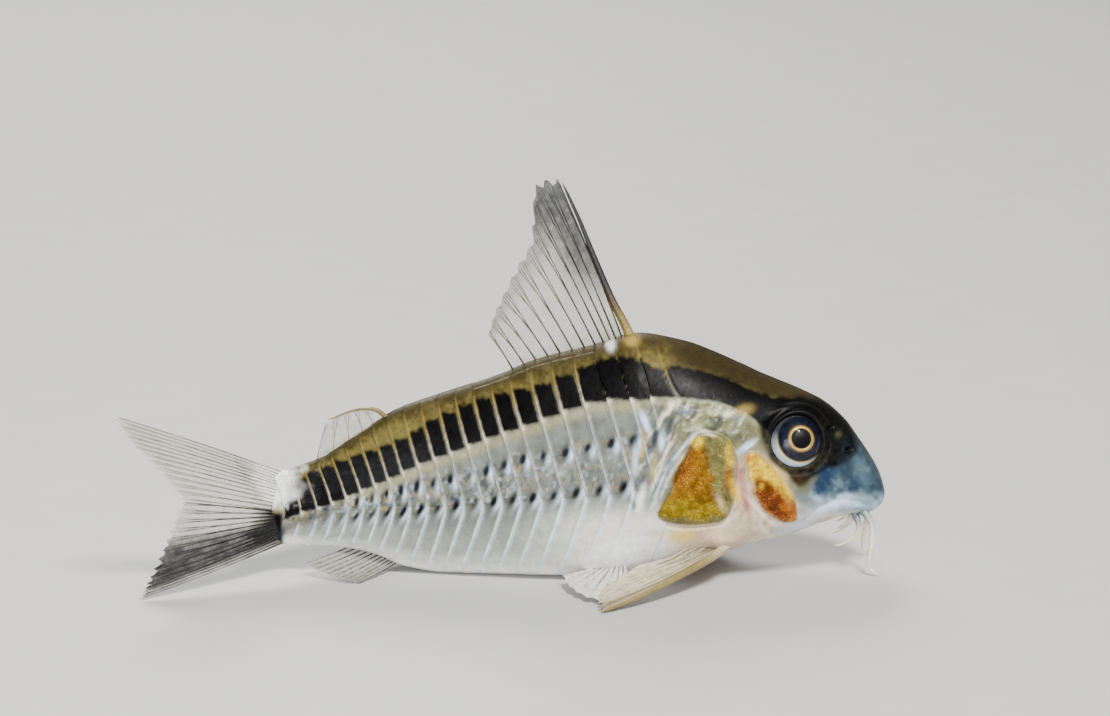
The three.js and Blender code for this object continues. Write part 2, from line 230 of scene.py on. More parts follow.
def skinAt(d, v):
    # reach and height at d and v; past the belly or back line v runs down the other side
    sign = np.where((v > 1) | (v < 0), -1.0, 1.0)
    v = np.where(v > 1, 2 - v, np.abs(v))
    i = np.clip(np.searchsorted(sectionD, d, side="right") - 1, 0, len(sectionD) - 2)
    a = np.clip((d - sectionD[i]) / (sectionD[i + 1] - sectionD[i]), 0, 1)
    q = np.clip(v, 0, 1) * (len(sectionV) - 1)
    j = np.minimum(q.astype(int), len(sectionV) - 2)
    b = q - j

    def look(table):
        return ((table[i, j] * (1 - a) + table[i + 1, j] * a) * (1 - b)
                + (table[i, j + 1] * (1 - a) + table[i + 1, j + 1] * a) * b)
    return sign * look(sectionSide), look(sectionZ)


def skinPoint(d, v, hand, lift):
    # a place on the skin of one side, lifted off it along its normal
    def at(d, v):
        side, z = skinAt(d, v)
        return place(d, side * hand, z)
    stepD, stepV = 0.12, 0.006
    along = at(np.minimum(d + stepD, body["length"]), v) - at(np.maximum(d - stepD, 0.001), v)
    around = at(d, v + stepV) - at(d, v - stepV)
    return at(d, v) + unit(np.cross(along, around) * hand) * lift[..., None]


def sideView(d, v):
    # the place on the left side, and that of the same point of the right side in the photograph
    side, z = skinAt(d, v)
    px, py = toPhoto(place(d, -np.abs(side), z))
    return place(d, np.abs(side), z), px, py


# places of markings and bones in the photograph, in its pixels
mark = {
    "stripeTop": [(262, 520), (285, 488), (310, 473), (340, 460), (370, 450), (400, 438), (440, 415),
                  (480, 399), (503, 392), (522, 389), (545, 384), (566, 375), (585, 368), (600, 361),
                  (615, 357), (635, 360), (655, 368), (680, 366), (700, 371), (720, 376), (745, 387),
                  (770, 397), (800, 402), (830, 408)],
    "stripeBottom": [(262, 545), (285, 520), (300, 512), (320, 507), (343, 498), (365, 488), (390, 478),
                     (420, 463), (460, 449), (490, 437), (525, 426), (547, 418), (570, 410), (590, 403),
                     (620, 399), (640, 401), (660, 397), (690, 398), (720, 402), (745, 412), (760, 424),
                     (775, 434), (800, 444), (830, 444)],
    "upperSpots": [(250, 520), (340, 505), (425, 484), (473, 475), (528, 458), (570, 452), (590, 447),
                   (632, 440)],
    "lowerSpots": [(250, 528), (330, 518), (386, 513), (434, 508), (503, 500), (559, 495), (622, 487),
                   (650, 484)],
    # where the plates' pale edges cross the middle of the stripe, and how wide a gap they leave in it
    "plateEdges": [646, 625, 602.5, 580, 557.5, 536.5, 516, 497, 479, 462, 445, 429, 413, 397, 383, 369,
                   355, 340, 326, 312, 298, 284],
    "spotPixels": 5.8,
    "barGaps": [(270, 0.05), (330, 0.08), (400, 0.11), (520, 0.12), (575, 0.11), (592, 0.02), (640, 0.02),
                (662, 0.03)],
    "cleithrum": [(699, 430), (686, 444), (672, 462), (660, 484), (652, 506), (646, 524)],
    "cheekEdge": [(757, 438), (744, 452), (741, 476), (743, 500), (748, 524), (750, 540)],
    "napeSeam": [(661, 346), (664, 364), (672, 386), (684, 404), (699, 424)],
    "brow": [(742, 372), (772, 384), (800, 398), (824, 412), (840, 430)],
    "jaw": [(868, 506), (846, 500), (824, 506), (806, 520), (788, 530), (764, 538)],
    "nostrils": [(829, 429), (849, 450)],
    "nostrilFlap": (838, 435),
    "pectoralBase": (721, 540),
}
closedMark = {
    "gillCover": [(699, 434), (688, 450), (676, 476), (664, 500), (657, 516), (672, 524), (700, 525),
                  (724, 520), (733, 504), (736, 480), (737, 458), (727, 440), (713, 433)],
    "goldPatch": [(697, 437), (686, 452), (676, 476), (664, 502), (660, 516), (688, 518), (716, 517),
                  (726, 512), (719, 490), (709, 466), (704, 446)],
    "cheek": [(750, 452), (763, 458), (776, 472), (788, 488), (797, 506), (797, 520), (784, 523),
              (768, 516), (756, 502), (750, 484), (747, 466)],
    "cheekFlesh": [(753, 481), (764, 478), (776, 488), (786, 502), (790, 517), (778, 517), (764, 507),
                   (754, 494)],
    "eyeMask": [(752, 402), (776, 398), (810, 398), (836, 410), (852, 430), (858, 452), (846, 464),
                (822, 474), (800, 486), (788, 476), (772, 462), (762, 440)],
    "snout": [(834, 430), (854, 440), (874, 462), (894, 500), (880, 512), (856, 510), (840, 510),
              (822, 504), (812, 492), (816, 476), (828, 464), (842, 456)],
}
patchReach = 45     # pixels round a patch's middle that it may colour
patches = [     # x, y, half width, half height, lean to the right in degrees, colour, strength
    (611, 345, 5, 7, 0, "white", 0.9), (632, 341, 8, 6, 0, "paleGold", 0.8),
    (743, 411, 11, 6, 20, "paleGold", 0.5), (737, 419, 6, 5, 0, "slate", 0.7),
    (727, 414, 5, 4, 0, "pearl", 0.8), (712, 411, 14, 4, 8, "paleGreen", 0.7),
    (684, 411, 8, 6, 0, "slate", 0.8), (696, 425, 14, 5, 10, "paleGreen", 0.8),
    (706, 432, 10, 3, -20, "pearl", 0.7), (731, 430, 7, 8, 0, "paleGreen", 0.6),
    (672, 424, 4, 13, 12, "steel", 0.8), (655, 437, 4, 11, 6, "steel", 0.9),
    (662, 441, 3.5, 10, 5, "ice", 1.0), (645, 422, 3.5, 12, -22, "ice", 1.0),
    (643, 446, 3, 14, 4, "paleGold", 0.7), (641, 498, 5, 15, 18, "white", 1.0),
    (635, 460, 3, 16, 2, "ice", 0.7), (653, 470, 3, 20, 12, "paleGold", 0.6),
    (668, 460, 3, 16, 28, "steel", 0.7), (648, 488, 3, 14, 16, "steel", 0.4),
    (634, 505, 2.5, 5, 0, "steel", 0.8),
    # gill cover
    (697, 443, 6, 6, 0, "brightGold", 1.0), (729, 455, 4, 13, 0, "brightGold", 0.8),
    (728, 478, 4, 12, 0, "amber", 0.7), (736, 492, 5, 14, -18, "brightGold", 0.9),
    (741, 478, 4, 14, -4, "rose", 0.8), (746, 500, 4, 18, -12, "rose", 0.8),
    (720, 502, 4, 12, -30, "pearl", 0.5),
    # cheek
    (747, 446, 11, 3.5, 38, "ice", 1.0), (748, 459, 4, 4, 0, "amber", 1.0),
    (765, 470, 17, 8, -28, "brightGold", 1.0), (783, 488, 15, 5, -52, "brightGold", 1.0),
    (785, 507, 5, 5, 0, "amber", 1.0), (791, 512, 4, 8, 0, "amber", 0.7),
    (758, 508, 17, 2.5, -46, "pearl", 0.9), (778, 524, 12, 3.5, -12, "pearl", 0.9),
    (761, 486, 3, 3, 0, "brightGold", 0.9), (765, 529, 4, 9, -30, "pearl", 1.0),
    (765, 524, 2.5, 4, 0, "amber", 0.6), (800, 480, 10, 6, -50, "umber", 0.7),
    (808, 502, 14, 5, -35, "slate", 0.7), (803, 512, 5, 6, 0, "steel", 0.5),
    # lips and snout
    (828, 508, 26, 6, 24, "ice", 1.0), (795, 528, 24, 5, 20, "ice", 0.7),
    (760, 540, 22, 4, 12, "pearl", 0.8), (826, 476, 10, 8, 30, "deepBlue", 0.8),
    (822, 492, 6, 10, -20, "deepBlue", 0.8), (848, 466, 8, 9, 20, "steel", 0.8),
    (838, 484, 8, 3, -30, "slate", 0.8), (846, 500, 8, 6, 0, "ice", 0.6),
    (862, 470, 8, 16, -20, "slate", 0.6),
    # under the gill cover
    (682, 536, 14, 7, 6, "brightGold", 0.75), (655, 534, 12, 6, 6, "paleGold", 0.5),
    (702, 533, 12, 5, 25, "rose", 0.4), (655, 540, 10, 8, 0, "pearl", 0.6),
    (620, 552, 32, 17, 8, "white", 1.0),
]


def photoLine(name, px):
    line = np.array(mark[name], float)
    return np.interp(px, line[:, 0], line[:, 1])


def edgeDistance(px, py, name):
    # distance in mm to a line drawn in the photograph, positive inside a closed one
    closed = name in closedMark
    line = lineThrough(closedMark[name] if closed else mark[name], count=5, closed=closed)
    if closed:
        line = np.vstack([line, line[:1]])
    best = np.full(px.shape, 1e9)
    inside = np.zeros(px.shape, bool)
    for (x0, y0), (x1, y1) in zip(line[:-1], line[1:]):
        dx, dy = x1 - x0, y1 - y0
        t = np.clip(((px - x0) * dx + (py - y0) * dy) / (dx * dx + dy * dy + 1e-9), 0, 1)
        best = np.minimum(best, np.hypot(px - x0 - t * dx, py - y0 - t * dy))
        if closed:
            crosses = (y0 > py) != (y1 > py)
            inside ^= crosses & (px < x0 + (py - y0) * dx / np.where(dy == 0, 1e-9, dy))
    best /= photo["pixelsPerMm"]
    return np.where(inside, best, -best) if closed else best


def spotDistance(px, py, spot, stretch=1.0):
    return np.hypot((px - spot[0]) / stretch, py - spot[1]) / photo["pixelsPerMm"]


# the armour plates: their front edges follow chevrons that point forward at the middle of the flank
plates = {
    "count": 21,
    "middle": 0.47, "below": 0.012, "above": 0.03,      # v where the rows meet, and how far they overlap
    "leanUp": 0.30, "leanDown": 0.36, "softness": 0.7,
    "bellyEdge": 0.15, "backEdge": 0.965, "backLine": 0.998,
    "tuck": 0.12, "past": 0.05,     # shares of the width under the plate ahead and over the next one
    "step": 0.085, "crown": 0.025, "roundness": 0.14, "upperLift": 0.035,
}


def plateLean(d, v):
    _, z = skinAt(d, v)
    _, middle = skinAt(d, np.full(np.shape(d), plates["middle"]))
    off = z - middle
    lean = np.where(off > 0, plates["leanUp"], plates["leanDown"])
    return lean * (np.sqrt(off ** 2 + plates["softness"] ** 2) - plates["softness"])


def plateBorders():
    # a border lies where the pale edge drawn in the photograph meets the flank, less the lean there
    d, v = np.meshgrid(np.linspace(18, body["length"], 900), np.linspace(0.5, 0.97, 140), indexing="ij")
    _, px, py = sideView(d, v)
    lean = plateLean(d, v)
    found = []
    for x in mark["plateEdges"]:
        y = (photoLine("stripeTop", x) + photoLine("stripeBottom", x)) / 2
        nearest = np.unravel_index(np.argmin((px - x) ** 2 + (py - y) ** 2), px.shape)
        found.append(d[nearest] - lean[nearest])
    found = np.sort(np.array(found))
    found[1:-1] = (found[:-2] + 2 * found[1:-1] + found[2:]) / 4
    unseen = 12     # borders ahead of the first one, of the same width
    return np.concatenate([found[0] - (found[1] - found[0]) * np.arange(unseen, 0, -1), found]), unseen


borders, firstPlate = plateBorders()


def plateCell(d, v):
    # which plate a place of the flank is in, and how far back in it, as one number
    return np.interp(d - plateLean(d, v), borders, np.arange(len(borders))) - firstPlate


eye = {
    "d": 7.84, "side": 3.6, "z": 11.76,
    "radius": 2.3, "depth": 1.62, "relief": 0.05, "corneaOut": 0.1, "corneaIn": 0.06,
    "lookAhead": 0.14, "lookUp": 0.33,
    "gazeAhead": 0.22, "gazeUp": 0.17,      # the iris sits this much further forward and up
    "pupil": 0.82, "ring": 0.97, "ringWidth": 0.11, "iris": 1.86,
    "rim": 2.2, "rimAhead": 0.72,
    "navy": (0.012, 0.018, 0.05), "blue": (0.03, 0.05, 0.15), "gold": (0.84, 0.68, 0.34),
    "warm": (0.80, 0.72, 0.46), "pale": (0.72, 0.79, 0.86), "black": (0.01, 0.01, 0.012),
}
eyeAxis = unit(np.array([eye["lookAhead"], 1.0, eye["lookUp"]]))
eyeAhead = unit(np.cross(eyeAxis, (0, 0, 1.0)))
eyeUp = np.cross(eyeAhead, eyeAxis)
eyeUp *= np.sign(eyeUp[2])
eyeCentre = np.array([snoutAhead - eye["d"], eye["side"], eye["z"]])

# raised bones: height and width of the slope, then depth, place and width of the groove round them
bones = {
    "gillCover": (0.2, 0.22, 0.26, -0.16, 0.13),
    "cheek": (0.16, 0.3, 0.1, -0.14, 0.12),
}
ridges = {"cheekEdge": (-0.12, 0.13), "napeSeam": (-0.08, 0.1), "brow": (0.1, 0.5), "jaw": (-0.1, 0.22)}
mouth = {"x": 31.35, "length": 1.15, "width": 1.75, "lipHeight": 0.24, "depth": 0.35}


def headRelief(p, px, py):
    # p is a place on the left side, as the relief is the same on both
    fromEye = p - eyeCentre
    ahead = fromEye @ eyeAxis
    off = np.linalg.norm(fromEye - ahead[..., None] * eyeAxis, axis=-1)
    # the skin is drawn to a level rim round the eye and dips under the ball inside it
    target = eye["rimAhead"] - 0.9 * smoothStep(eye["rim"] - 0.02, eye["rim"] - 0.3, off)
    target = target + 0.08 * bump(off, eye["rim"] + 0.1, 0.16) - 0.14 * bump(off, eye["rim"] + 0.55, 0.22)
    lift = smoothStep(-2.4, -1.2, ahead) * smoothStep(3.5, 2.35, off) * (target - ahead)
    for name, (height, slope, depth, at, width) in bones.items():
        edge = edgeDistance(px, py, name)
        lift += height * smoothStep(-0.05, slope, edge) - depth * bump(edge, at, width)
    lift += 0.15 * bump(edgeDistance(px, py, "cleithrum"), 0, 0.34) * smoothStep(520, 486, py)
    for name, (height, width) in ridges.items():
        lift += height * bump(edgeDistance(px, py, name), 0, width)
    for spot in mark["nostrils"]:
        away = spotDistance(px, py, spot)
        lift += 0.11 * bump(away, 0.42, 0.16) - 0.42 * bump(away, 0, 0.24)
    lift += 0.16 * bump(spotDistance(px, py, mark["nostrilFlap"]), 0, 0.26)
    lift += 0.45 * bump(spotDistance(px, py, mark["pectoralBase"], 1.7), 0, 0.8)
    return lift


def mouthRelief(p):
    under = smoothStep(6.3, 5.7, p[..., 2])
    ahead = p[..., 0] - mouth["x"]
    ring = np.hypot(ahead / mouth["length"], p[..., 1] / mouth["width"])
    inner = np.hypot((ahead - 0.15) / (mouth["length"] * 0.3), p[..., 1] / (mouth["width"] * 0.72))
    lips = mouth["lipHeight"] * bump(ring, 0.85, 0.3)
    return under * (lips - mouth["depth"] * smoothStep(1.15, 0.5, inner))


def toColour(*parts):
    # from the values of a screen to the linear ones that a mesh holds
    return np.array([c / 12.92 if c <= 0.04045 else ((c + 0.055) / 1.055) ** 2.4 for c in parts])


def mixed(tint, colour, mask):
    return tint + (colour - tint) * mask[..., None]


# colours, as they look in daylight
coat = {
    "belly": (0.96, 0.95, 0.92), "lowFlank": (0.60, 0.61, 0.585), "flank": (0.33, 0.345, 0.31),
    "underStripe": (0.66, 0.63, 0.46), "aboveStripe": (0.40, 0.36, 0.19), "back": (0.19, 0.16, 0.075),
    "black": (0.012, 0.010, 0.013), "plateEdge": (0.92, 0.94, 0.93), "spot": (0.03, 0.04, 0.07),
    "headTop": (0.19, 0.16, 0.085), "gold": (0.50, 0.36, 0.08), "goldRed": (0.38, 0.17, 0.05),
    "goldOlive": (0.50, 0.44, 0.09), "goldGreen": (0.40, 0.40, 0.26), "flesh": (0.40, 0.18, 0.07),
    "throat": (0.80, 0.71, 0.61), "snout": (0.20, 0.27, 0.31), "snoutTop": (0.10, 0.095, 0.08),
    "lip": (0.72, 0.82, 0.90), "white": (0.97, 0.97, 0.96), "pearl": (0.88, 0.85, 0.78),
    "ice": (0.78, 0.86, 0.93), "paleGold": (0.72, 0.62, 0.32), "paleGreen": (0.50, 0.53, 0.40),
    "slate": (0.34, 0.42, 0.47), "steel": (0.13, 0.17, 0.21), "deepBlue": (0.07, 0.16, 0.27),
    "brightGold": (0.86, 0.73, 0.15), "amber": (0.62, 0.35, 0.07), "rose": (0.62, 0.36, 0.34),
    "umber": (0.20, 0.13, 0.07),
}
coat = {name: toColour(*value) for name, value in coat.items()}


def inPatch(px, py, x, y, wide, tall, lean):
    # a tall patch leans its top to the right, a wide one lifts its right end
    turn = math.radians(lean if tall > wide else -lean)
    across, up = px - x, y - py
    across, up = across * math.cos(turn) - up * math.sin(turn), up * math.cos(turn) + across * math.sin(turn)
    return np.exp(-((across / wide) ** 2 + (up / tall) ** 2) ** 1.5)


def paint(d, v):
    # the fish's colours, laid one over another, how metallic it is and how freckled; v is the left side's
    p, px, py = sideView(d, v)
    height = (p[..., 2] - bellyHeight(d)) / (backHeight(d) - bellyHeight(d))
    top, bottom = photoLine("stripeTop", px), photoLine("stripeBottom", px)
    upperRow, lowerRow = photoLine("upperSpots", px), photoLine("lowerSpots", px)
    cell = plateCell(d, v)
    back = cell - np.floor(cell)    # how far back in its plate a place lies
    tint = np.broadcast_to(coat["belly"], px.shape + (3,)).copy()

    def lay(colour, mask):
        tint[...] = mixed(tint, coat[colour], np.clip(mask, 0, 1))

    def across(low, high):
        return smoothStep(low, high, px)

    def down(low, high):
        return smoothStep(low, high, py)

    def edge(name):
        return edgeDistance(px, py, name)

    def cloud(size, seed, stretch=1.0, lean=0.0):
        return mottle(px + py * lean, py * stretch, size, seed)

    wobble, fine = cloud(9, 3), cloud(3.2, 13)
    onPlates = smoothStep(668, 652, px + (py - 400) * 0.12)
    lay("lowFlank", smoothStep(0.03, 0.2, height))
    lay("flank", smoothStep(0.16, 0.42, height) * (0.85 + 0.15 * wobble))
    lay("underStripe", bump(py, bottom + 7, 6) * 0.45)
    lay("aboveStripe", smoothStep(bottom - 4, top, py + 2 * wobble))
    lay("back", smoothStep(0.86, 0.98, height + 0.03 * wobble + 0.03 * fine) * 0.85)
    lay("belly", across(500, 620) * down(492, 528) * 0.75)
    # head
    head = across(655, 690)
    lay("headTop", head * smoothStep(top + 6, top - 6, py + 2 * fine))
    lay("goldGreen", head * down(bottom + 1, bottom + 8) * down(520, 470) * 0.85)
    lay("throat", head * smoothStep(500, 526, py + wobble * 4))
    lay("snoutTop", across(800, 838) * down(488, 440) * 0.95)
    snout = smoothStep(-0.6, 0.5, edge("snout") + 0.2 * wobble)
    blotch = cloud(7, 41) + 0.6 * fine
    lay("snout", snout)
    lay("deepBlue", snout * smoothStep(0.1, 0.9, blotch) * 0.5)
    lay("slate", snout * smoothStep(-0.1, -0.9, blotch) * down(440, 470) * 0.8)
    lay("lip", snout * smoothStep(488, 510, py + 5 * cloud(6, 8)))
    # gill cover, and the veins above it
    cover = edge("gillCover")
    patch = edge("goldPatch") + 0.24 * wobble + 0.12 * fine
    speckle = 0.5 + 0.5 * cloud(3.5, 5)
    lay("goldGreen", smoothStep(-0.1, 0.25, cover))
    aboveCover = smoothStep(0.0, -0.4, cover) * across(664, 690) * across(752, 736)
    aboveCover = aboveCover * down(bottom, bottom + 6) * down(448, 432)
    lay("aboveStripe", aboveCover * smoothStep(0.0, 0.8, cloud(4.5, 51, 1.6) + 0.4 * fine) * 0.9)
    lay("umber", aboveCover * smoothStep(0.25, 0.9, cloud(3.2, 53, 1.4) + 0.3 * wobble) * 0.6)
    lay("pearl", aboveCover * smoothStep(0.2, 0.9, cloud(4.0, 52, 1.6)) * 0.6)
    lay("gold", smoothStep(-0.2, 0.5, patch))
    lay("goldOlive", smoothStep(-0.1, 0.3, patch) * down(490, 508))
    red = smoothStep(-0.1, 0.5, patch) * smoothStep(700, 680, px + (py - 470) * 0.25) * down(500, 470)
    lay("goldRed", red * (0.6 + 0.4 * speckle))
    lay("goldRed", smoothStep(0.1, 0.9, patch) * smoothStep(0.55, 0.95, speckle) * 0.7)
    # cheek
    lay("throat", across(728, 742) * across(800, 770) * down(436, 470) * 0.7)
    cheek = edge("cheek") + 0.14 * wobble + 0.1 * fine
    flesh = edge("cheekFlesh") + 0.16 * wobble + 0.12 * fine
    lay("amber", smoothStep(-0.1, 0.3, cheek) * 0.8)
    lay("brightGold", smoothStep(-0.1, 0.3, cheek) * down(500, 478) * 0.8)
    lay("flesh", smoothStep(-0.2, 0.25, flesh) * 0.9)
    lay("umber", smoothStep(0.0, 0.6, flesh) * smoothStep(0.5, 0.95, speckle) * 0.6)
    # shoulder, with veins
    shield = edge("cleithrum")
    lay("ice", bump(shield, 0.0, 0.17) * (0.7 + 0.3 * fine) * down(518, 486))
    lay("pearl", bump(shield, 0.45, 0.14) * (0.6 + 0.3 * fine) * down(440, 460) * down(510, 484))
    shoulder = across(628, 650) * across(760, 738) * down(bottom, bottom + 8)
    shoulder = shoulder * smoothStep(0.0, -0.5, cover) * down(530, 500)
    vein = cloud(5, 23, 0.32, 0.45) + 0.5 * cloud(2.4, 24, 0.4, 0.5)
    lay("steel", shoulder * smoothStep(0.15, 0.9, vein) * 0.65)
    lay("pearl", shoulder * smoothStep(-0.15, -0.9, vein) * 0.7)
    # a mottled band, and in it rows of dark spots inside the plates, each with a pale dash before it
    band = down(upperRow - 16, upperRow + 2) * down(lowerRow + 9, lowerRow - 3) * onPlates
    band = band * (0.6 + 0.4 * across(600, 420))
    lay("paleGold", band * smoothStep(0.1, 0.9, cloud(4.2, 61)) * 0.4)
    lay("ice", band * smoothStep(0.15, 0.9, cloud(3.6, 62)) * 0.42)
    lay("steel", band * smoothStep(0.28, 0.7, cloud(2.4, 17, 0.5, 0.35)) * 0.75)
    for row, size in ((upperRow, 1.0), (lowerRow, 0.95)):
        seen = size * across(290, 380) * onPlates * (0.75 + 0.25 * mottle(cell * 0.97, size, 1, 4))
        up = (row - py) / mark["spotPixels"]
        middle = 0.36 - 0.12 * up
        lay("ice", bump(up, -0.3, 1.4) * bump(back, middle - 0.32, 0.16) * seen * 1.25)
        lay("spot", bump(up, 0, 1.0) * bump(back, middle, 0.18) * seen * 1.6)
    # pale plate edges
    pale = (bump(back, 0.99, 0.09) + bump(back, -0.01, 0.06)) * onPlates * smoothStep(0.02, 0.14, height)
    pale = pale * (0.6 + 0.16 * fine + 0.2 * wobble)
    lay("plateEdge", pale * (0.45 + 0.75 * down(lowerRow - 14, lowerRow + 4)) * down(bottom + 2, bottom + 14))
    lay("ice", bump(back, 0.9, 0.13) * down(lowerRow + 2, lowerRow + 10) * onPlates * 0.35)
    lay("pearl", bump(back, 0.98, 0.16) * bump(py, bottom, 5) * onPlates * 0.8)
    pale = pale * down(bottom + 8, bottom) * smoothStep(0.98, 0.9, height)
    lay("paleGold", pale * 0.6)
    lay("pearl", pale * down(top, bottom) * 0.7)
    # a faint painted shadow just behind each plate's front edge, where the rear edge of the plate ahead
    # overlaps it
    lay("steel", bump(back, 0.09, 0.05) * onPlates * smoothStep(0.1, 0.25, height) * 0.2)
    # the stripe, cut into bars by the plates' pale edges
    slope = (2.0 * (1 - 2 * back) + 1.4 * np.sin(np.floor(cell) * 12.7)) * onPlates
    fromTop = (py - top - slope) / photo["pixelsPerMm"] + 0.12 * fine + 0.1 * wobble
    fromBottom = (bottom + slope * 0.7 - py) / photo["pixelsPerMm"] + 0.06 * fine
    gap = photoLine("barGaps", px)
    bar = smoothStep(1.0 - gap * 0.4, 1.0 - gap * 2.7, np.abs(back - 0.52) * 2 + 0.05 * fine)
    bar = np.maximum(bar, 0.85 * across(585, 600) * across(664, 655))
    inBar = smoothStep(-0.34, 0.2, fromTop) * smoothStep(-0.14, 0.16, fromBottom)
    inBar = inBar * (bar * onPlates + (1 - onPlates))
    inBar = inBar * (1 - 0.85 * bump(edge("napeSeam"), 0, 0.13)) * across(262, 280) * across(836, 806)
    lay("black", inBar * 1.05)
    # the end of the tail stalk
    lay("black", across(288, 280) * down(508, 516) * down(550, 542))
    lay("steel", across(350, 330) * bump(py, bottom + 8, 6) * 0.6)
    white = smoothStep(310, 284, px + 7 * wobble) * smoothStep(514, 500, py + 0.35 * (px - 275) + 4 * fine)
    lay("white", white * 0.95)
    # the black round the eye, then the patches and the nostrils
    lay("black", smoothStep(-0.3, 0.35, edge("eyeMask") + 0.12 * wobble) * (0.92 + 0.08 * fine))
    for x, y, wide, tall, lean, colour, strength in patches:
        near = (np.abs(px - x) < patchReach) & (np.abs(py - y) < patchReach)
        if near.any():
            amount = np.zeros(px.shape)
            amount[near] = inPatch(px[near], py[near], x, y, wide, tall, lean)
            lay(colour, amount * strength * (0.88 + 0.12 * fine))
    for spot in mark["nostrils"]:
        lay("black", bump(spotDistance(px, py, spot), 0, 0.24))
    lay("goldGreen", bump(spotDistance(px, py, mark["nostrilFlap"]), 0, 0.3) * 0.3)
    shine = 0.95 * smoothStep(-0.1, 0.3, patch) + 0.9 * smoothStep(-0.1, 0.3, cheek)
    shine = shine + 0.5 * smoothStep(0, 0.3, cover)
    shine = shine + 0.32 * smoothStep(0.05, 0.3, height) * (1 - inBar) * across(800, 760)
    shine = np.clip(shine, 0, 1) * (1 - 0.8 * inBar)
    dark = smoothStep(0.6, 0.95, height) * (1 - inBar)
    return tint, shine, dark


def gridFaces(rows, columns):
    i, j = np.meshgrid(np.arange(rows - 1), np.arange(columns - 1), indexing="ij")
    a = (i * columns + j).ravel()
    return np.stack([a, a + 1, a + columns + 1, a + columns], -1)


def ringFaces(rows, columns):
    # the same, closed from the last column to the first
    i, j = np.meshgrid(np.arange(rows - 1), np.arange(columns), indexing="ij")
    a, b = i * columns + j, i * columns + (j + 1) % columns
    return np.stack([a, b, b + columns, a + columns], -1).reshape(-1, 4)


def sheetFaces(rows, columns):
    # an outer sheet, an inner sheet and the rim between them
    count = rows * columns
    index = np.arange(count).reshape(rows, columns)
    rim = np.concatenate([index[0, :], index[1:, -1], index[-1, -2::-1], index[-2:0:-1, 0]])
    after = np.roll(rim, -1)
    sheet = gridFaces(rows, columns)
    edge = np.stack([rim + count, after + count, after, rim], -1)
    return np.concatenate([sheet, sheet[:, ::-1] + count, edge])


def newPiece(name, points, faces, material, uv=None, smooth=True, **layers):
    # faces is a list of tables, one for each number of corners; uv has a row for each corner of each face,
    # and the layers (tint, shine, dark) have one for each point
    mesh = bpy.data.meshes.new(name)
    points = np.asarray(points, float).reshape(-1, 3) * mm
    corners = np.concatenate([table.ravel() for table in faces])
    sizes = np.concatenate([np.full(len(table), table.shape[1]) for table in faces])
    mesh.vertices.add(len(points))
    mesh.vertices.foreach_set("co", points.ravel())
    mesh.loops.add(len(corners))
    mesh.loops.foreach_set("vertex_index", corners)
    mesh.polygons.add(len(sizes))
    mesh.polygons.foreach_set("loop_start", np.cumsum(sizes) - sizes)
    mesh.update(calc_edges=True)
    mesh.polygons.foreach_set("use_smooth", np.full(len(sizes), smooth))
    for label, value in layers.items():
        if label == "tint":
            colour = np.column_stack([value.reshape(-1, 3), np.ones(len(points))])
            mesh.attributes.new(label, "FLOAT_COLOR", "POINT").data.foreach_set("color", colour.ravel())
        else:
            mesh.attributes.new(label, "FLOAT", "POINT").data.foreach_set("value", value.ravel())
    if uv is not None:
        mesh.uv_layers.new(name="OFBake").data.foreach_set("uv", uv.ravel())
    mesh.materials.append(material)
    mesh.validate()
    piece = bpy.data.objects.new(name, mesh)
    bpy.context.scene.collection.objects.link(piece)
    return piece


def joinParts(name, parts, material):
    # one piece from parts that each have points, faces and the same layers
    starts = np.cumsum([0] + [len(part["points"]) for part in parts])
    faces = np.concatenate([part["faces"] + start for part, start in zip(parts, starts)])
    layers = {key: np.concatenate([part[key] for part in parts]) for key in parts[0] if key != "faces"}
    return newPiece(name, layers.pop("points"), [faces], material, **layers)


def settle(piece, slot, *nodes):
    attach(piece, "root")
    if nodes:
        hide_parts(*nodes)


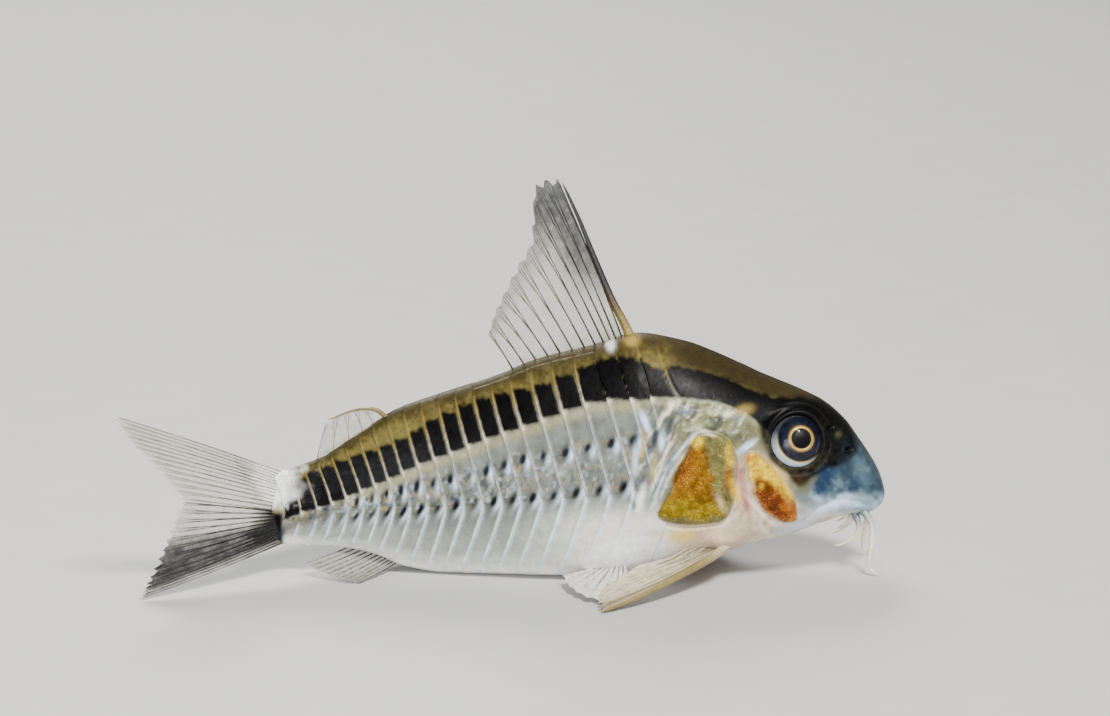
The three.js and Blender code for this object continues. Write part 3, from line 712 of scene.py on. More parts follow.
# materials
class NodeMaterial:
    def __init__(self, name):
        self.material = bpy.data.materials.new(name)
        self.material.use_nodes = True
        self.nodes = self.material.node_tree.nodes
        self.links = self.material.node_tree.links
        self.shader = self.nodes["Principled BSDF"]
        self.space = self.nodes.new("ShaderNodeTexCoord").outputs["Object"]

    def node(self, kind, settings=None, **inputs):
        made = self.nodes.new(kind)
        for key, value in (settings or {}).items():
            setattr(made, key, value)
        for key, value in inputs.items():
            self.feed(made.inputs[key.replace("_", " ")], value)
        return made

    def feed(self, socket, value):
        if isinstance(value, bpy.types.NodeSocket):
            self.links.new(value, socket)
        else:
            socket.default_value = value

    def attribute(self, name, output="Fac"):
        return self.node("ShaderNodeAttribute", {"attribute_name": name}).outputs[output]

    def noise(self, sizeMm, detail=3.0, rough=0.55):
        return self.node("ShaderNodeTexNoise", Vector=self.space, Scale=1 / (sizeMm * mm), Detail=detail,
                         Roughness=rough).outputs["Fac"]

    def cells(self, sizeMm, feature="F1"):
        return self.node("ShaderNodeTexVoronoi", {"feature": feature}, Vector=self.space,
                         Scale=1 / (sizeMm * mm)).outputs["Distance"]

    def span(self, value, low, high, newLow, newHigh):
        made = self.node("ShaderNodeMapRange", Value=value)
        for key, number in (("From Min", low), ("From Max", high), ("To Min", newLow), ("To Max", newHigh)):
            made.inputs[key].default_value = number
        return made.outputs["Result"]

    def patchy(self, sizeMm, low, high, detail=3.0, rough=0.55):
        # a value that wanders between low and high
        return self.span(self.noise(sizeMm, detail, rough), 0.3, 0.7, low, high)

    def times(self, a, b):
        made = self.node("ShaderNodeMath", {"operation": "MULTIPLY"})
        self.feed(made.inputs[0], a)
        self.feed(made.inputs[1], b)
        return made.outputs[0]

    def mix(self, factor, a, b, kind="MIX"):
        # a Mix node keeps its colour sockets after those for numbers and vectors
        made = self.node("ShaderNodeMix", {"data_type": "RGBA", "blend_type": kind})
        for socket, value in ((0, factor), (6, a), (7, b)):
            self.feed(made.inputs[socket], value)
        return made.outputs[2]

    def shaded(self, colour, value):
        grey = self.node("ShaderNodeCombineColor", Red=value, Green=value, Blue=value).outputs["Color"]
        return self.mix(1.0, colour, grey, "MULTIPLY")

    def raiseBy(self, height, depthMm, before=None):
        made = self.node("ShaderNodeBump", Height=height, Distance=depthMm * mm, Strength=1.0)
        if before is not None:
            self.links.new(before, made.inputs["Normal"])
        return made.outputs["Normal"]

    def finish(self, **sockets):
        for key, value in sockets.items():
            self.feed(self.shader.inputs[key.replace("_", " ")], value)
        return self.material


skinLook = {
    "freckleMm": 0.22, "freckle": (0.012, 0.010, 0.006, 1),
    "deepGilt": (0.40, 0.24, 0.14, 1), "brightGilt": (1.5, 1.42, 0.8, 1),
    # the flakes' size, and the colour of the painted glint on them
    "flakeMm": 0.075, "paintedGlint": (0.98, 0.60, 0.16, 1),
    "metal": 0.5, "coatRoughness": 0.25, "gloss": 0.06,
}


def wetSkin(name, grainMm, depthMm, mottling, coatWeight):
    m = NodeMaterial(name)
    shine = m.attribute("shine")
    patches = m.patchy(0.7, 1 - mottling, 1 + mottling * 0.6, 5.0, 0.65)
    colour = m.shaded(m.attribute("tint", "Color"), patches)
    freckles = m.span(m.cells(skinLook["freckleMm"]), 0.28, 0.14, 0.0, 0.85)
    freckles = m.times(freckles, m.span(m.noise(0.6, 2.0), 0.42, 0.58, 0.0, 1.0))
    colour = m.mix(m.times(freckles, m.attribute("dark")), colour, skinLook["freckle"])
    # gilt: veins from red-brown to yellow where the metallic shine is strong
    vein = m.span(m.noise(0.8, 8.0, 0.7), 0.36, 0.64, 0.0, 1.0)
    deepGilt = m.mix(1.0, colour, skinLook["deepGilt"], "MULTIPLY")
    brightGilt = m.mix(1.0, colour, skinLook["brightGilt"], "MULTIPLY")
    colour = m.mix(m.span(shine, 0.5, 0.85, 0.0, 0.65), colour, m.mix(vein, deepGilt, brightGilt))
    # glitter: small metallic flakes, each with its own brightness, and a painted glint on the brightest of
    # them
    flake = m.node("ShaderNodeTexVoronoi", Vector=m.space, Scale=1 / (skinLook["flakeMm"] * mm))
    apart = m.node("ShaderNodeSeparateColor", Color=flake.outputs["Color"])
    bright = m.span(apart.outputs["Red"], 0.0, 1.0, 0.66, 1.4)
    colour = m.mix(m.times(shine, 0.75), colour, m.shaded(colour, bright))
    # painted glint: warm bright specks on the brightest flakes where the shine is strong
    paintedGlint = m.times(m.span(apart.outputs["Green"], 0.86, 0.98, 0.0, 0.45), m.span(shine, 0.45, 0.8, 0.0, 1.0))
    paintedGlint = m.times(paintedGlint, m.span(m.noise(0.8, 3.0), 0.42, 0.62, 0.0, 1.0))
    colour = m.mix(paintedGlint, colour, skinLook["paintedGlint"])
    normal = m.raiseBy(m.cells(grainMm * 1.3, "SMOOTH_F1"), depthMm)
    normal = m.raiseBy(m.noise(grainMm, 4.0, 0.6), depthMm, normal)
    normal = m.raiseBy(m.times(apart.outputs["Blue"], shine), 0.014, normal)
    return m.finish(Base_Color=colour, Roughness=m.patchy(0.4, 0.34, 0.56), Normal=normal,
                    Metallic=m.times(shine, skinLook["metal"]), Coat_Weight=coatWeight,
                    Coat_Roughness=skinLook["coatRoughness"], Specular_IOR_Level=skinLook["gloss"])


skinMaterial = wetSkin("wetSkin", 0.16, 0.010, 0.22, 0.03)
plateMaterial = wetSkin("pearlPlate", 0.13, 0.011, 0.2, 0.04)


def makeSkin():
    headRows, bodyRows, around = ((250, 250, 190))
    d = np.concatenate([np.linspace(0.02, math.sqrt(body["headEnd"]), headRows, endpoint=False) ** 2,
                        np.linspace(body["headEnd"], body["length"], bodyRows)])
    v = np.linspace(0, 1, around)
    loop = np.concatenate([v, 2 - v[-2:0:-1]])      # up the left side and down the right
    dGrid, vGrid = np.meshgrid(d, loop, indexing="ij")
    leftV = np.where(vGrid <= 1, vGrid, 2 - vGrid)
    p, px, py = sideView(dGrid, leftV)
    lift = headRelief(p, px, py) * smoothStep(body["reliefEnd"], body["headEnd"], dGrid) + mouthRelief(p)
    points = skinPoint(dGrid, vGrid, 1.0, lift)
    points[..., 2] = np.maximum(points[..., 2], body["aboveFloor"])
    points = points.reshape(-1, 3)
    tint, shine, dark = paint(dGrid, leftV)
    # the flat map is the skin unrolled: x runs along the body and y round it
    rows, columns = dGrid.shape
    flatX, flatY = 0.02 + 0.96 * d / body["length"], 0.01 + 0.98 * np.arange(columns + 1) / columns
    faces = [ringFaces(rows, columns)]
    i, j = np.divmod(faces[0][:, 0], columns)
    square = ((0, 0), (0, 1), (1, 1), (1, 0))
    uv = [np.stack([np.stack([flatX[i + p], flatY[j + q]], -1) for p, q in square], -2)]
    # the snout and the end of the tail stalk are closed with a fan each
    ends = [0, len(points) - columns]
    k = np.arange(columns)
    for start, middle, edgeX, middleX in ((ends[0], len(points), 0.019, 0.001),
                                          (ends[1], len(points) + 1, 0.981, 0.999)):
        fan = np.stack([start + k, np.full(columns, middle), start + (k + 1) % columns], -1)
        corners = ((edgeX, flatY[:-1]), (middleX, (flatY[:-1] + flatY[1:]) / 2), (edgeX, flatY[1:]))
        flat = np.stack([np.stack([np.full(columns, x), y], -1) for x, y in corners], -2)
        faces.append(fan if start == 0 else fan[:, ::-1])
        uv.append(flat if start == 0 else flat[:, ::-1])
    points = np.vstack([points] + [points[start:start + columns].mean(0) for start in ends])
    tint, shine, dark = tint.reshape(-1, 3), shine.ravel(), dark.ravel()
    tint, shine, dark = (np.concatenate([layer, layer[ends]]) for layer in (tint, shine, dark))
    uv = np.concatenate([part.reshape(-1, 2) for part in uv])
    return newPiece("skin", points, faces, skinMaterial, uv, tint=tint, shine=shine, dark=dark)


skin = makeSkin()
settle(skin, "body_skin", "head", "trunk_front", "trunk_middle", "trunk_rear", "tail_stalk",
       "gill_cover_right", "gill_cover_left", "lips")
print("skin made", len(skin.data.polygons))


def makePlate(k, vLow, vHigh, hand, rows, columns, lapped=0.0):
    # one overlapping plate: an outer sheet that rises towards its rear edge, and an inner sheet under it
    first, last = borders[firstPlate + k], borders[firstPlate + k + 1]
    width = last - first
    u, v = np.meshgrid(np.linspace(0, 1, rows) ** 0.9, np.linspace(vLow, vHigh, columns), indexing="ij")
    fromEnd = np.minimum(v - vLow, vHigh - v)
    rounded = plates["roundness"] * smoothStep(0.16, 0.0, fromEnd / (vHigh - vLow)) ** 2
    reach = (u * (1 + plates["tuck"] + plates["past"] - rounded) - plates["tuck"]) * width
    d = first + reach
    for _ in range(4):
        d = first + reach + plateLean(d, v)
    d = np.minimum(d, body["length"])
    whole = smoothStep(0.0, 0.014, fromEnd)     # the plate sinks into the skin at its upper and lower ends
    outer = 0.02 + plates["step"] * u ** 1.4 + plates["crown"] * np.sin(math.pi * u)
    outer = outer + 0.02 * np.sin(v * 46 + k * 2.1) * u + 0.012 * mottle(u * 5, v * 60 + k * 9, 1.0, 19)
    outer = outer * (1 - 0.75 * smoothStep(0.93, 0.99, v)) - 0.03 * smoothStep(0.9, 1.0, u)
    outer = (outer + lapped) * whole - 0.05 * (1 - whole)
    inner = (plates["step"] * 0.35 * u ** 2 - 0.02) * whole - 0.09 * (1 - whole)
    points = np.concatenate([skinPoint(d, v, hand, lift).reshape(-1, 3) for lift in (outer, inner)])
    points[:, 2] = np.maximum(points[:, 2], body["aboveFloor"])
    faces = sheetFaces(rows, columns)
    if hand < 0:
        faces = faces[:, ::-1]
    # flat map: the outer sheets below, the inner ones above, and the rim with the outer sheet's edge
    start, end = borders[firstPlate], borders[firstPlate + plates["count"]]
    flatX = 0.01 + 0.98 * (first + u * width - start) / (end - start)
    outerFlat = np.stack([flatX, 0.01 + 0.47 * v], -1).reshape(-1, 2)
    flat = np.concatenate([outerFlat, outerFlat + (0, 0.5)])[faces]
    inSheets = 2 * (rows - 1) * (columns - 1)
    flat[inSheets:] = outerFlat[faces[inSheets:] % (rows * columns)]
    tint, shine, dark = paint(d, v)
    return {"points": points, "faces": faces, "uv": flat, "tint": np.concatenate([tint.reshape(-1, 3)] * 2),
            "shine": np.concatenate([shine.ravel()] * 2), "dark": np.concatenate([dark.ravel()] * 2)}


def makePlates():
    rows, columns = ((18, 76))
    for sideName, hand in sides.items():
        upper, lower = [], []
        for k in range(plates["count"]):
            d = borders[firstPlate + k]
            besideDorsal = smoothStep(19, 21.5, d) * smoothStep(32.5, 31, d)
            top = plates["backLine"] - (1 - plates["backEdge"]) * besideDorsal
            low = max(plates["bellyEdge"] * smoothStep(46, 41, d), 0.004)
            upper.append(makePlate(k, plates["middle"] - plates["below"], top, hand, rows, columns,
                                   plates["upperLift"]))
            lower.append(makePlate(k, low, plates["middle"] + plates["above"], hand, rows, columns))
        settle(joinParts("plates_upper_" + sideName, upper, plateMaterial), "body_skin")
        settle(joinParts("plates_lower_" + sideName, lower, plateMaterial), "body_skin")


makePlates()
print("plates made")


def wetEye():
    m = NodeMaterial("wetEye")
    colour = m.shaded(m.attribute("tint", "Color"), m.patchy(0.25, 0.85, 1.1))
    return m.finish(Base_Color=colour, Metallic=m.times(m.attribute("shine"), 0.8),
                    Roughness=m.patchy(0.3, 0.3, 0.4), Coat_Weight=0.3, Coat_Roughness=0.03,
                    Specular_IOR_Level=0.15)


def clearCornea():
    m = NodeMaterial("clearCornea")
    return m.finish(Base_Color=(0.01, 0.015, 0.02, 1), Alpha=m.patchy(0.5, 0.01, 0.04), Roughness=0.04,
                    Specular_IOR_Level=0.8)


eyeMaterial = wetEye()
corneaMaterial = clearCornea()


def eyeFlat(reach, turn):
    # how far ahead of the eye's axis and above it a place lies, by its angle from the axis and turn round it
    return eye["radius"] * np.sin(reach) * np.cos(turn), eye["radius"] * np.sin(reach) * np.sin(turn)


def onEye(reach, turn, depth):
    flatX, flatUp = eyeFlat(reach, turn)
    middle = eyeCentre + flatX[..., None] * eyeAhead + flatUp[..., None] * eyeUp
    return middle + (np.cos(reach) * depth)[..., None] * eyeAxis


def makeEye(sideName, hand):
    turns = 120
    turn = np.linspace(0, 2 * math.pi, turns, endpoint=False)
    mirror = np.array([1, hand, 1])
    a, b = np.meshgrid(np.linspace(0, math.pi * 0.6, 110), turn, indexing="ij")
    flatX, flatUp = eyeFlat(a, b)
    off = np.hypot(flatX - eye["gazeAhead"], flatUp - eye["gazeUp"])
    off = np.where(a < math.pi / 2, off, 3)     # the rear half has no iris
    # the ring stands up, and the pupil and a groove round the iris lie lower
    groove = bump(off, eye["iris"] + 0.05, 0.1)
    relief = bump(off, eye["ring"], 0.1) - smoothStep(eye["ring"], 0.6, off) - groove
    depth = eye["depth"] + eye["relief"] * relief
    colour = {name: toColour(*eye[name]) for name in ("navy", "blue", "gold", "warm", "pale", "black")}
    streak = mottle(np.arctan2(flatUp, flatX) * 7, off * 1.5, 1.0, 21)
    tint = colour["navy"] + np.clip(0.2 + 0.8 * streak, 0, 1)[..., None] * colour["blue"]
    # a pale crescent round the iris, below and behind
    behind = smoothStep(0.05, -1.0, (flatX * 0.5 + flatUp * 0.87) / np.maximum(off, 0.3))
    crescent = smoothStep(eye["iris"] - 0.06, eye["iris"] + 0.12, off) * np.clip(0.05 + behind, 0, 1)
    silver = mixed(colour["warm"], colour["pale"], smoothStep(eye["iris"] + 0.02, eye["iris"] + 0.3, off))
    tint = mixed(tint, silver, crescent)
    gold = np.clip(bump(off, eye["ring"], eye["ringWidth"]) * (0.85 + 0.15 * streak), 0, 1)
    tint = mixed(tint, colour["gold"], gold)
    tint = mixed(tint, colour["black"], smoothStep(eye["pupil"] + 0.04, eye["pupil"] - 0.02, off))
    faces = ringFaces(len(a), turns)[:, [0, 3, 2, 1]]
    if hand > 0:
        faces = faces[:, ::-1]
    ball = newPiece("eye_ball_" + sideName, onEye(a, b, depth) * mirror, [faces], eyeMaterial,
                    tint=tint, shine=gold)
    settle(ball, "eye", "eye_" + sideName)
    # the cornea: a clear dome over the iris
    rows = 40
    a, b = np.meshgrid(np.linspace(0, 1.12, rows), turn, indexing="ij")
    dome = [onEye(a, b, eye["depth"] + eye[grow]) for grow in ("corneaOut", "corneaIn")]
    sheet = ringFaces(rows, turns)[:, [0, 3, 2, 1]]
    k = np.arange(turns) + (rows - 1) * turns
    after = np.roll(k, -1)
    rim = np.stack([k, k + a.size, after + a.size, after], -1)
    faces = np.concatenate([sheet, sheet[:, ::-1] + a.size, rim])
    if hand > 0:
        faces = faces[:, ::-1]
    settle(newPiece("cornea_" + sideName, np.stack(dome) * mirror, [faces], corneaMaterial), "eye")


for sideName, hand in sides.items():
    makeEye(sideName, hand)
print("eyes made")


def tube(line, radius, tint, corners, flat=1.0):
    # a round or flattened rod along a line of points, closed at both ends; tint has a row for each point,
    # and radius may also have a column for each corner
    tangent = unit(np.gradient(line, axis=0))
    guide = np.array([0.31, 0.93, 0.2])
    first = unit(guide - (guide * tangent).sum(1, keepdims=True) * tangent)
    second = np.cross(tangent, first)
    angle = np.linspace(0, 2 * math.pi, corners, endpoint=False)
    ring = np.cos(angle)[:, None] * first[:, None] * flat + np.sin(angle)[:, None] * second[:, None]
    shaft = line[:, None] + ring * np.reshape(radius, (len(line), -1, 1))
    count = len(line) * corners
    quads = ringFaces(len(line), corners)
    k = np.arange(corners)
    following = (k + 1) % corners
    start = np.stack([np.full(corners, count), following, k], -1)
    end = np.stack([np.full(corners, count + 1), count - corners + k, count - corners + following], -1)
    return {"points": np.concatenate([shaft.reshape(-1, 3), line[:1], line[-1:]]),
            "faces": np.concatenate([quads[:, :3], quads[:, [0, 2, 3]], start, end]),
            "tint": np.concatenate([np.repeat(tint, corners, axis=0), tint[:1], tint[-1:]])}


def softFlesh():
    m = NodeMaterial("barbelFlesh")
    colour = m.shaded(m.attribute("tint", "Color"), m.patchy(0.35, 0.82, 1.08, 4.0))
    return m.finish(Base_Color=colour, Normal=m.raiseBy(m.cells(0.11, "SMOOTH_F1"), 0.02),
                    Roughness=m.patchy(0.2, 0.3, 0.45), Coat_Weight=0.5, Coat_Roughness=0.15,
                    Subsurface_Weight=0.2, Subsurface_Scale=0.0005)


# barbels: routes as (d, side, height), root first
barbels = {
    "rictal_outer": {"route": [(2.1, 1.7, 5.5), (1.7, 2.2, 5.1), (1.25, 2.65, 4.3), (1.3, 2.85, 2.8),
                               (1.45, 2.95, 1.3), (1.25, 3.0, 0.5), (0.5, 3.2, 0.13)],
                     "radii": [0.45, 0.32, 0.23, 0.2, 0.17, 0.14, 0.07]},
    "rictal_inner": {"route": [(2.6, 1.6, 5.1), (2.3, 2.2, 4.1), (2.7, 2.3, 3.2), (3.5, 2.1, 2.6),
                               (4.3, 1.8, 2.3)],
                     "radii": [0.36, 0.22, 0.16, 0.12, 0.06]},
    "mental": {"route": [(2.5, 0.7, 5.1), (2.9, 0.8, 4.5), (3.3, 0.95, 4.0), (4.0, 1.05, 3.6)],
               "radii": [0.32, 0.21, 0.14, 0.07]},
}
barbelColour = {"root": (0.42, 0.48, 0.50), "tip": (0.90, 0.86, 0.74)}


def makeBarbel(name, barbel, sideName, hand):
    line = routeThrough(barbel["route"], hand, 14)
    t = np.linspace(0, 1, len(line))
    radius = np.interp(t, np.linspace(0, 1, len(barbel["radii"])), barbel["radii"])
    radius = radius * np.sqrt(np.clip(1 - ((t - 0.9) / 0.1).clip(0) ** 2, 0.01, 1))
    radius = radius * (1 + 0.025 * np.sin(t * 70) + 0.03 * mottle(t * 40, len(name), 1.0, 31))
    line[:, 2] = np.maximum(line[:, 2], radius * 0.96 + 0.02)
    root, tip = toColour(*barbelColour["root"]), toColour(*barbelColour["tip"])
    rod = tube(line, radius, mixed(root, tip, smoothStep(0.1, 0.5, t)), 14)
    settle(joinParts("feeler_" + name + "_" + sideName, [rod], barbelMaterial), "barbel",
           "barbel_" + name + "_" + sideName)


barbelMaterial = softFlesh()
for sideName, hand in sides.items():
    for name, barbel in barbels.items():
        makeBarbel(name, barbel, sideName, hand)
print("barbels made")

# fins: roots and tips are lines of (d, side, height), front ray first
fins = {
    "dorsal_fin": {
        "roots": [(22.1, 0, 19.6), (24, 0, 18.9), (27.5, 0, 18.1), (31.2, 0, 16.9)],
        "tips": [(27.6, 0, 33.4), (29.5, 0, 32.6), (29.8, 0, 28.4), (31.2, 0, 25.4), (32.6, 0, 22.6),
                 (33.4, 0, 20.2)],
        "rays": 12, "ray": (0.095, 0.02), "bow": (0, 0.1, 0), "sweep": 0.12, "web": 0.14,
        "light": (0.50, 0.48, 0.38), "deep": (0.08, 0.075, 0.06), "rayTone": 0.35, "deepAt": "front",
    },
    "tail_fin_upper": {
        "roots": [(50.6, 0, 8.8), (50.9, 0, 7.4), (51.0, 0, 5.6)],
        "tips": [(66.0, 0, 15.7), (65, 0, 13.6), (62.4, 0, 10.8), (59.9, 0, 7.7)],
        "rays": 14, "ray": (0.085, 0.018), "bow": (0, -0.35, 0.3), "sweep": 0.3, "web": 0.2,
        "light": (0.68, 0.67, 0.60), "deep": (0.40, 0.38, 0.32), "rayTone": 0.22, "deepAt": "none",
        "base": (0.93, 0.93, 0.90),
    },
    "tail_fin_lower": {
        "roots": [(51.0, 0, 5.5), (50.9, 0, 4.4), (50.6, 0, 3.0)],
        "tips": [(59.9, 0, 7.5), (61.6, -0.3, 4.4), (63.6, -0.9, 1.6), (64.8, -1.2, 0.12)],
        "rays": 14, "ray": (0.1, 0.02), "bow": (0, -0.35, -0.1), "sweep": 0.3, "web": 0.22,
        "light": (0.56, 0.55, 0.50), "deep": (0.03, 0.028, 0.03), "rayTone": 0.45, "deepAt": "stripe",
        "base": (0.03, 0.028, 0.03),
    },
    "anal_fin": {
        "roots": [(40.7, 0, 0.7), (42.5, 0, 1.3), (44.9, 0, 2.1)],
        "tips": [(45.4, -4.6, 0.12), (46.7, -4, 0.16), (48.3, -2.6, 0.5), (49.6, -1.2, 1.2)],
        "rays": 11, "ray": (0.085, 0.02), "bow": (0, 0, 0.2), "sweep": 0.15, "web": 0.32,
        "light": (0.64, 0.63, 0.57), "deep": (0.2, 0.19, 0.16), "rayTone": 0.40, "deepAt": "none",
    },
    "adipose_fin": {
        "roots": [(42.0, 0, 12.9), (44.5, 0, 11.6), (47.9, 0, 9.8)],
        "tips": [(43, 0, 13.9), (44.9, 0, 13.8), (47.1, 0, 12.9)],
        "rays": 6, "ray": (0.035, 0.015), "bow": (0, 0.1, 0), "sweep": 0.0, "web": 0.22,
        "light": (0.55, 0.52, 0.38), "deep": (0.25, 0.22, 0.14), "rayTone": 0.30, "deepAt": "none",
    },
}
pairedFins = {
    "pectoral_fin": {
        "roots": [(13.8, 5.5, 3.1), (15.0, 5.5, 3.2), (16.3, 5.4, 3.5)],
        "tips": [(24.2, 13.8, 0.2), (24.3, 11.4, 0.5), (22.9, 9.2, 1.3), (20.8, 7.5, 2.3)],
        "rays": 11, "ray": (0.11, 0.03), "bow": (0, 0, 0.3), "sweep": 0.75, "web": 0.66,
        "light": (0.86, 0.82, 0.70), "deep": (0.50, 0.44, 0.26), "rayTone": 0.35, "deepAt": "line",
    },
    "pelvic_fin": {
        "roots": [(21.9, 4.7, 1.7), (22.9, 4.6, 1.55), (23.9, 4.2, 1.3)],
        "tips": [(21.7, 9.4, 0.1), (23.2, 11.6, 0.1), (25.2, 10.8, 0.15), (26.6, 8.6, 0.5),
                 (27.2, 6.2, 1.0)],
        "rays": 9, "ray": (0.12, 0.03), "bow": (0, 0, 0.35), "sweep": 0.1, "web": 0.62,
        "light": (0.95, 0.94, 0.91), "deep": (0.42, 0.41, 0.36), "rayTone": 0.42, "deepAt": "none",
    },
}
# where a fin is dark, by u from its front ray back and v from its root out
darkParts = {
    "front": lambda u, v: smoothStep(0.5, 0.05, u) * smoothStep(0.1, 0.6, v) + smoothStep(0.7, 1.0, v) * 0.5,
    "stripe": lambda u, v: smoothStep(0.2, 0.45, u) * smoothStep(0.95, 0.75, u),
    "line": lambda u, v: bump(u, 0.08, 0.07) * smoothStep(0.1, 0.3, v) * 0.8,
    "none": lambda u, v: 0 * u,
}


def finSurface(fin, hand):
    roots, tips = routeThrough(fin["roots"], hand, 40), routeThrough(fin["tips"], hand, 40)
    bow = np.array(fin["bow"], float) * np.array([1, hand, 1])

    def along(line, u):
        q = np.clip(u, 0, 1) * (len(line) - 1)
        return np.stack([np.interp(q, np.arange(len(line)), line[:, k]) for k in range(3)], -1)

    def at(u, v):
        root = along(roots, u)
        tangent = along(tips, u) - root
        back = np.array([-1.0, 0, 0])
        share = (back * tangent).sum(-1, keepdims=True) / (tangent ** 2).sum(-1, keepdims=True)
        curl = back - share * tangent
        # rays arch a little towards the front before they sweep back
        arch = -fin["sweep"] * np.sin(math.pi * np.clip(v, 0, 1))
        middle = np.sin(math.pi * np.clip(u, 0, 1)) * v
        return root + tangent * v[..., None] + curl * arch[..., None] + bow * middle[..., None]
    return at


def baseMask(u, v):
    # the colour of the stalk runs out on to the tail fin, further in the middle of the lobe
    return smoothStep(0.30, 0.10, v + 0.03 * np.sin(u * 70)) * smoothStep(1.0, 0.7, u)


def finTint(fin, seed, u, v, onRay):
    bands = 0.5 + 0.5 * np.sin(v * 34 + 3 * mottle(u * 10, v * 6, 1.0, seed))
    depth = darkParts[fin["deepAt"]](u, v)
    depth = np.clip(depth + onRay * fin["rayTone"] * (0.6 + smoothStep(0.4, 0.95, bands)), 0, 1)
    tint = mixed(toColour(*fin["light"]), toColour(*fin["deep"]), depth)
    return mixed(tint, toColour(*fin["base"]), baseMask(u, v)) if "base" in fin else tint


webShape = {"thickness": 0.05, "thinning": 0.032, "slack": 0.05, "stepped": 0.03, "aboveFloor": 0.02}
rayShape = {"reach": 0.96, "fork": 0.16, "taper": 0.7, "joints": 26, "jointHeight": 0.16, "shade": 0.82}


def makeWeb(name, fin, at, seed):
    # a thin closed sheet, a little slack between the rays
    rays, (perGap, up) = fin["rays"], ((12, 60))
    across = (rays - 1) * perGap + 1
    u, v = np.meshgrid(np.linspace(0, 1, across), np.linspace(0, 1, up), indexing="ij")
    between = np.sin(math.pi * u * (rays - 1)) ** 2
    edge = 1 - webShape["stepped"] * between - 0.02 * np.abs(mottle(u * rays * 3, 0, 1.0, seed + 1))
    step = 0.004
    normal = unit(np.cross(at(np.clip(u + step, 0, 1), v) - at(np.clip(u - step, 0, 1), v),
                           at(u, np.clip(v + step, 0, 1)) - at(u, np.clip(v - step, 0, 1))))
    slack = webShape["slack"] * between * np.sin(v * 9 + u * 25) * smoothStep(0.0, 0.3, v)
    thick = webShape["thickness"] - webShape["thinning"] * v
    sheets = np.stack([at(u, v * edge) + normal * lift[..., None] for lift in (slack + thick, slack - thick)])
    sheets[..., 2] = np.maximum(sheets[..., 2], webShape["aboveFloor"])
    tint = finTint(fin, seed, u, v, 0)
    dense = fin["web"] + 0.2 * smoothStep(0.2, 0.0, v)
    if "base" in fin:
        dense = dense + 1.6 * baseMask(u, v)
    if fin["deepAt"] in ("front", "stripe"):
        light, deep = toColour(*fin["light"])[0], toColour(*fin["deep"])[0]
        dense = dense + 0.5 * smoothStep(light, deep, tint[..., 0]) * smoothStep(0, 0.1, v)
    web = newPiece("web_" + name, sheets, [sheetFaces(across, up)], webMaterial,
                   tint=np.stack([tint] * 2), shine=np.stack([dense] * 2))
    settle(web, "fin", name)


def makeRays(name, fin, at, seed):
    # jointed rods that fork twice on their way to the edge
    rods = []
    fork = rayShape["fork"] / (fin["rays"] - 1)
    atRoot, atTip = fin["ray"]
    for k in range(fin["rays"]):
        for a in (-1, 1):
            for b in (-1, 1):
                reach = rayShape["reach"] - 0.02 * (b + 1) * (k % 2)
                t = np.linspace(0, reach, 64)
                aside = a * fork * 1.1 * smoothStep(0.3, 1.0, t) + b * fork * 0.55 * smoothStep(0.6, 1.0, t)
                u = np.clip(k / (fin["rays"] - 1) + aside, 0, 1)
                radius = atRoot + (atTip - atRoot) * t ** rayShape["taper"]
                joint = bump((t * rayShape["joints"] + k * 0.3) % 1.0, 0.5, 0.16) * smoothStep(0.25, 0.45, t)
                line = at(u, t)
                line[:, 2] = np.maximum(line[:, 2], radius * 0.9 + 0.02)
                tint = finTint(fin, seed, u, t, 1) * rayShape["shade"]
                rods.append(tube(line, radius * (1 + rayShape["jointHeight"] * joint), tint, 6))
    settle(joinParts("rays_" + name, rods, rayMaterial), "fin")


def makeFin(name, fin, hand=1.0):
    at = finSurface(fin, hand)
    seed = len(name) + fin["rays"]
    makeWeb(name, fin, at, seed)
    makeRays(name, fin, at, seed)


def clearWeb():
    m = NodeMaterial("clearWeb")
    colour = m.shaded(m.attribute("tint", "Color"), m.patchy(0.5, 0.8, 1.1, 4.0))
    return m.finish(Base_Color=colour, Alpha=m.times(m.attribute("shine"), m.patchy(0.7, 0.75, 1.2)),
                    Roughness=m.patchy(0.3, 0.2, 0.4), Normal=m.raiseBy(m.noise(0.3), 0.02),
                    Coat_Weight=0.3, Coat_Roughness=0.1)


def hornRay(name, grainMm, depthMm):
    m = NodeMaterial(name)
    colour = m.shaded(m.attribute("tint", "Color"), m.patchy(0.4, 0.75, 1.1, 4.0))
    return m.finish(Base_Color=colour, Roughness=m.patchy(0.2, 0.28, 0.45),
                    Normal=m.raiseBy(m.noise(grainMm, 4.0), depthMm), Coat_Weight=0.5, Coat_Roughness=0.15)


webMaterial = clearWeb()
rayMaterial = hornRay("finRay", 0.1, 0.012)
spineMaterial = hornRay("spineBone", 0.14, 0.02)
for name, fin in fins.items():
    makeFin(name, fin)
for sideName, hand in sides.items():
    for name, fin in pairedFins.items():
        makeFin(name + "_" + sideName, fin, hand)
print("fins made")

# spines: routes as (d, side, height), root first
spines = {
    "dorsal_spine": {"route": [(21.3, 0, 19.2), (21.9, 0, 20.8), (23.1, 0, 23.2), (24.5, 0, 26.6),
                               (25.8, 0, 29.9), (27.2, 0, 33.0)],
                     "radii": (0.5, 0.1), "root": (0.60, 0.50, 0.24), "tip": (0.06, 0.045, 0.03)},
    "adipose_spine": {"route": [(41.5, 0, 12.6), (42.8, 0, 13.75), (44.6, 0, 13.85), (46.9, 0, 13.1)],
                      "radii": (0.26, 0.07), "root": (0.50, 0.42, 0.2), "tip": (0.50, 0.45, 0.28)},
}
pectoralSpine = {"route": [(12.9, 4.0, 3.5), (13.9, 5.6, 3.1), (15.2, 7.2, 2.6), (18.6, 10.3, 1.6),
                           (21.6, 12.4, 0.75), (24.2, 13.95, 0.2)],
                 "radii": (0.5, 0.12), "root": (0.84, 0.77, 0.68), "tip": (0.52, 0.45, 0.24)}


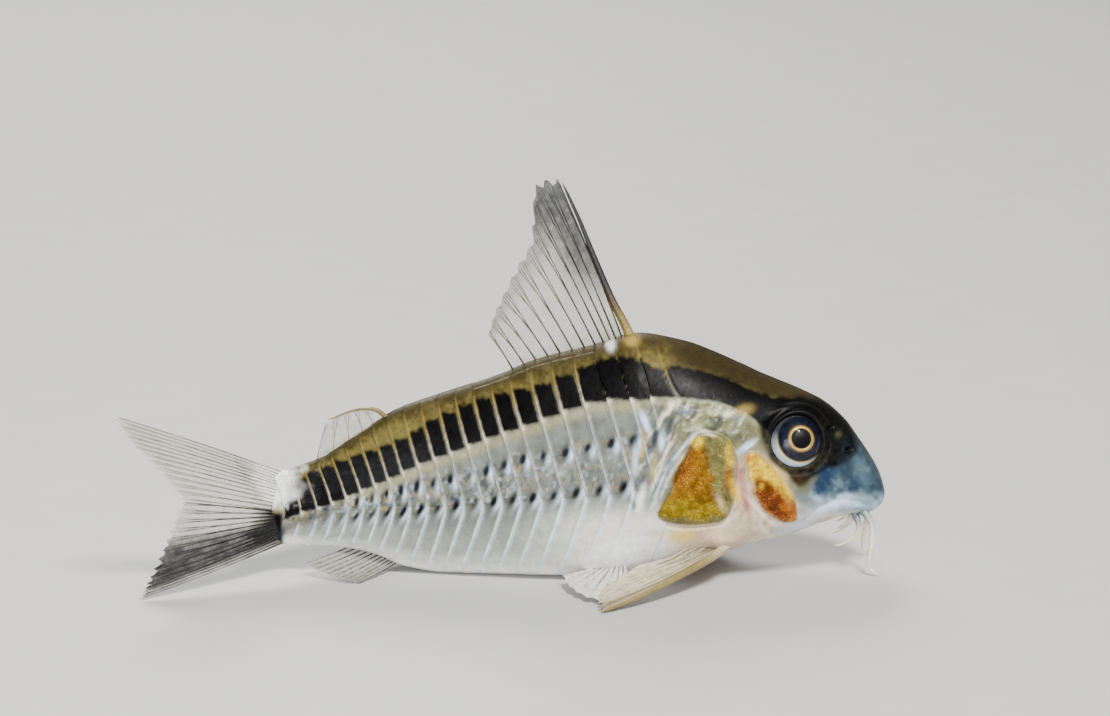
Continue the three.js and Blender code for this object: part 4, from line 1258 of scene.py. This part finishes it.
def makeSpine(name, spine, hand=1.0):
    # a flattened bone with flutes along it and faint rings across it
    line = routeThrough(spine["route"], hand, 24)
    t = np.linspace(0, 1, len(line))
    atRoot, atTip = spine["radii"]
    radius = (atRoot + (atTip - atRoot) * t ** 0.8) * smoothStep(1.03, 0.93, t)
    line[:, 2] = np.maximum(line[:, 2], radius * 0.9 + 0.02)
    corners, flutes = 24, 6
    angle = np.linspace(0, 2 * math.pi, corners, endpoint=False)
    relief = 1 + 0.09 * np.cos(angle * flutes) - 0.06 * bump((t * 30) % 1.0, 0.5, 0.2)[:, None]
    tint = mixed(toColour(*spine["root"]), toColour(*spine["tip"]), smoothStep(0.08, 0.5, t))
    rod = tube(line, radius[:, None] * relief, tint, corners, 0.72)
    rod["points"][:, 2] = np.maximum(rod["points"][:, 2], 0.015)
    settle(joinParts("bone_" + name, [rod], spineMaterial), "spine", name)


for name, spine in spines.items():
    makeSpine(name, spine)
for sideName, hand in sides.items():
    makeSpine("pectoral_spine_" + sideName, pectoralSpine, hand)
print("spines made")

# plain pale floor and soft studio light
studio = {
    "floor": 3.0,
    "floorColour": (0.50, 0.50, 0.49),
    "world": (0.20, 0.21, 0.23),
    "lookAt": (0, 0, 0.008),
    "lights": {     # place and size in metres, power in watts
        "key": {"at": (0.16, -0.34, 0.50), "size": 0.16, "power": 7.5, "colour": (1.0, 0.97, 0.92)},
        "fill": {"at": (-0.12, -0.50, 0.10), "size": 0.30, "power": 2.4, "colour": (0.92, 0.96, 1.0)},
        "rim": {"at": (-0.10, 0.45, 0.38), "size": 0.30, "power": 3.5, "colour": (1.0, 0.98, 0.95)},
    },
}


def makeStudio():
    m = NodeMaterial("paleFloor")
    colour = m.shaded((*studio["floorColour"], 1), m.patchy(6.0, 0.97, 1.02, 4.0))
    half = studio["floor"] / 2 / mm
    corners = [(-half, -half, 0), (half, -half, 0), (half, half, 0), (-half, half, 0)]
    floorMaterial = m.finish(Base_Color=colour, Roughness=0.6)
    newPiece("floor", corners, [np.array([(0, 1, 2, 3)])], floorMaterial, smooth=False)
    world = bpy.data.worlds.new("softRoom")
    world.use_nodes = True
    world.node_tree.nodes["Background"].inputs["Color"].default_value = (*studio["world"], 1)
    bpy.context.scene.world = world
    for name, light in studio["lights"].items():
        data = bpy.data.lights.new(name, "AREA")
        data.shape = "DISK"
        data.size = light["size"]
        data.energy = light["power"]
        data.color = light["colour"]
        lamp = bpy.data.objects.new(name, data)
        bpy.context.scene.collection.objects.link(lamp)
        lamp.location = light["at"]
        lamp.rotation_euler = (Vector(studio["lookAt"]) - lamp.location).to_track_quat("-Z", "Y").to_euler()


makeStudio()
print("studio made")
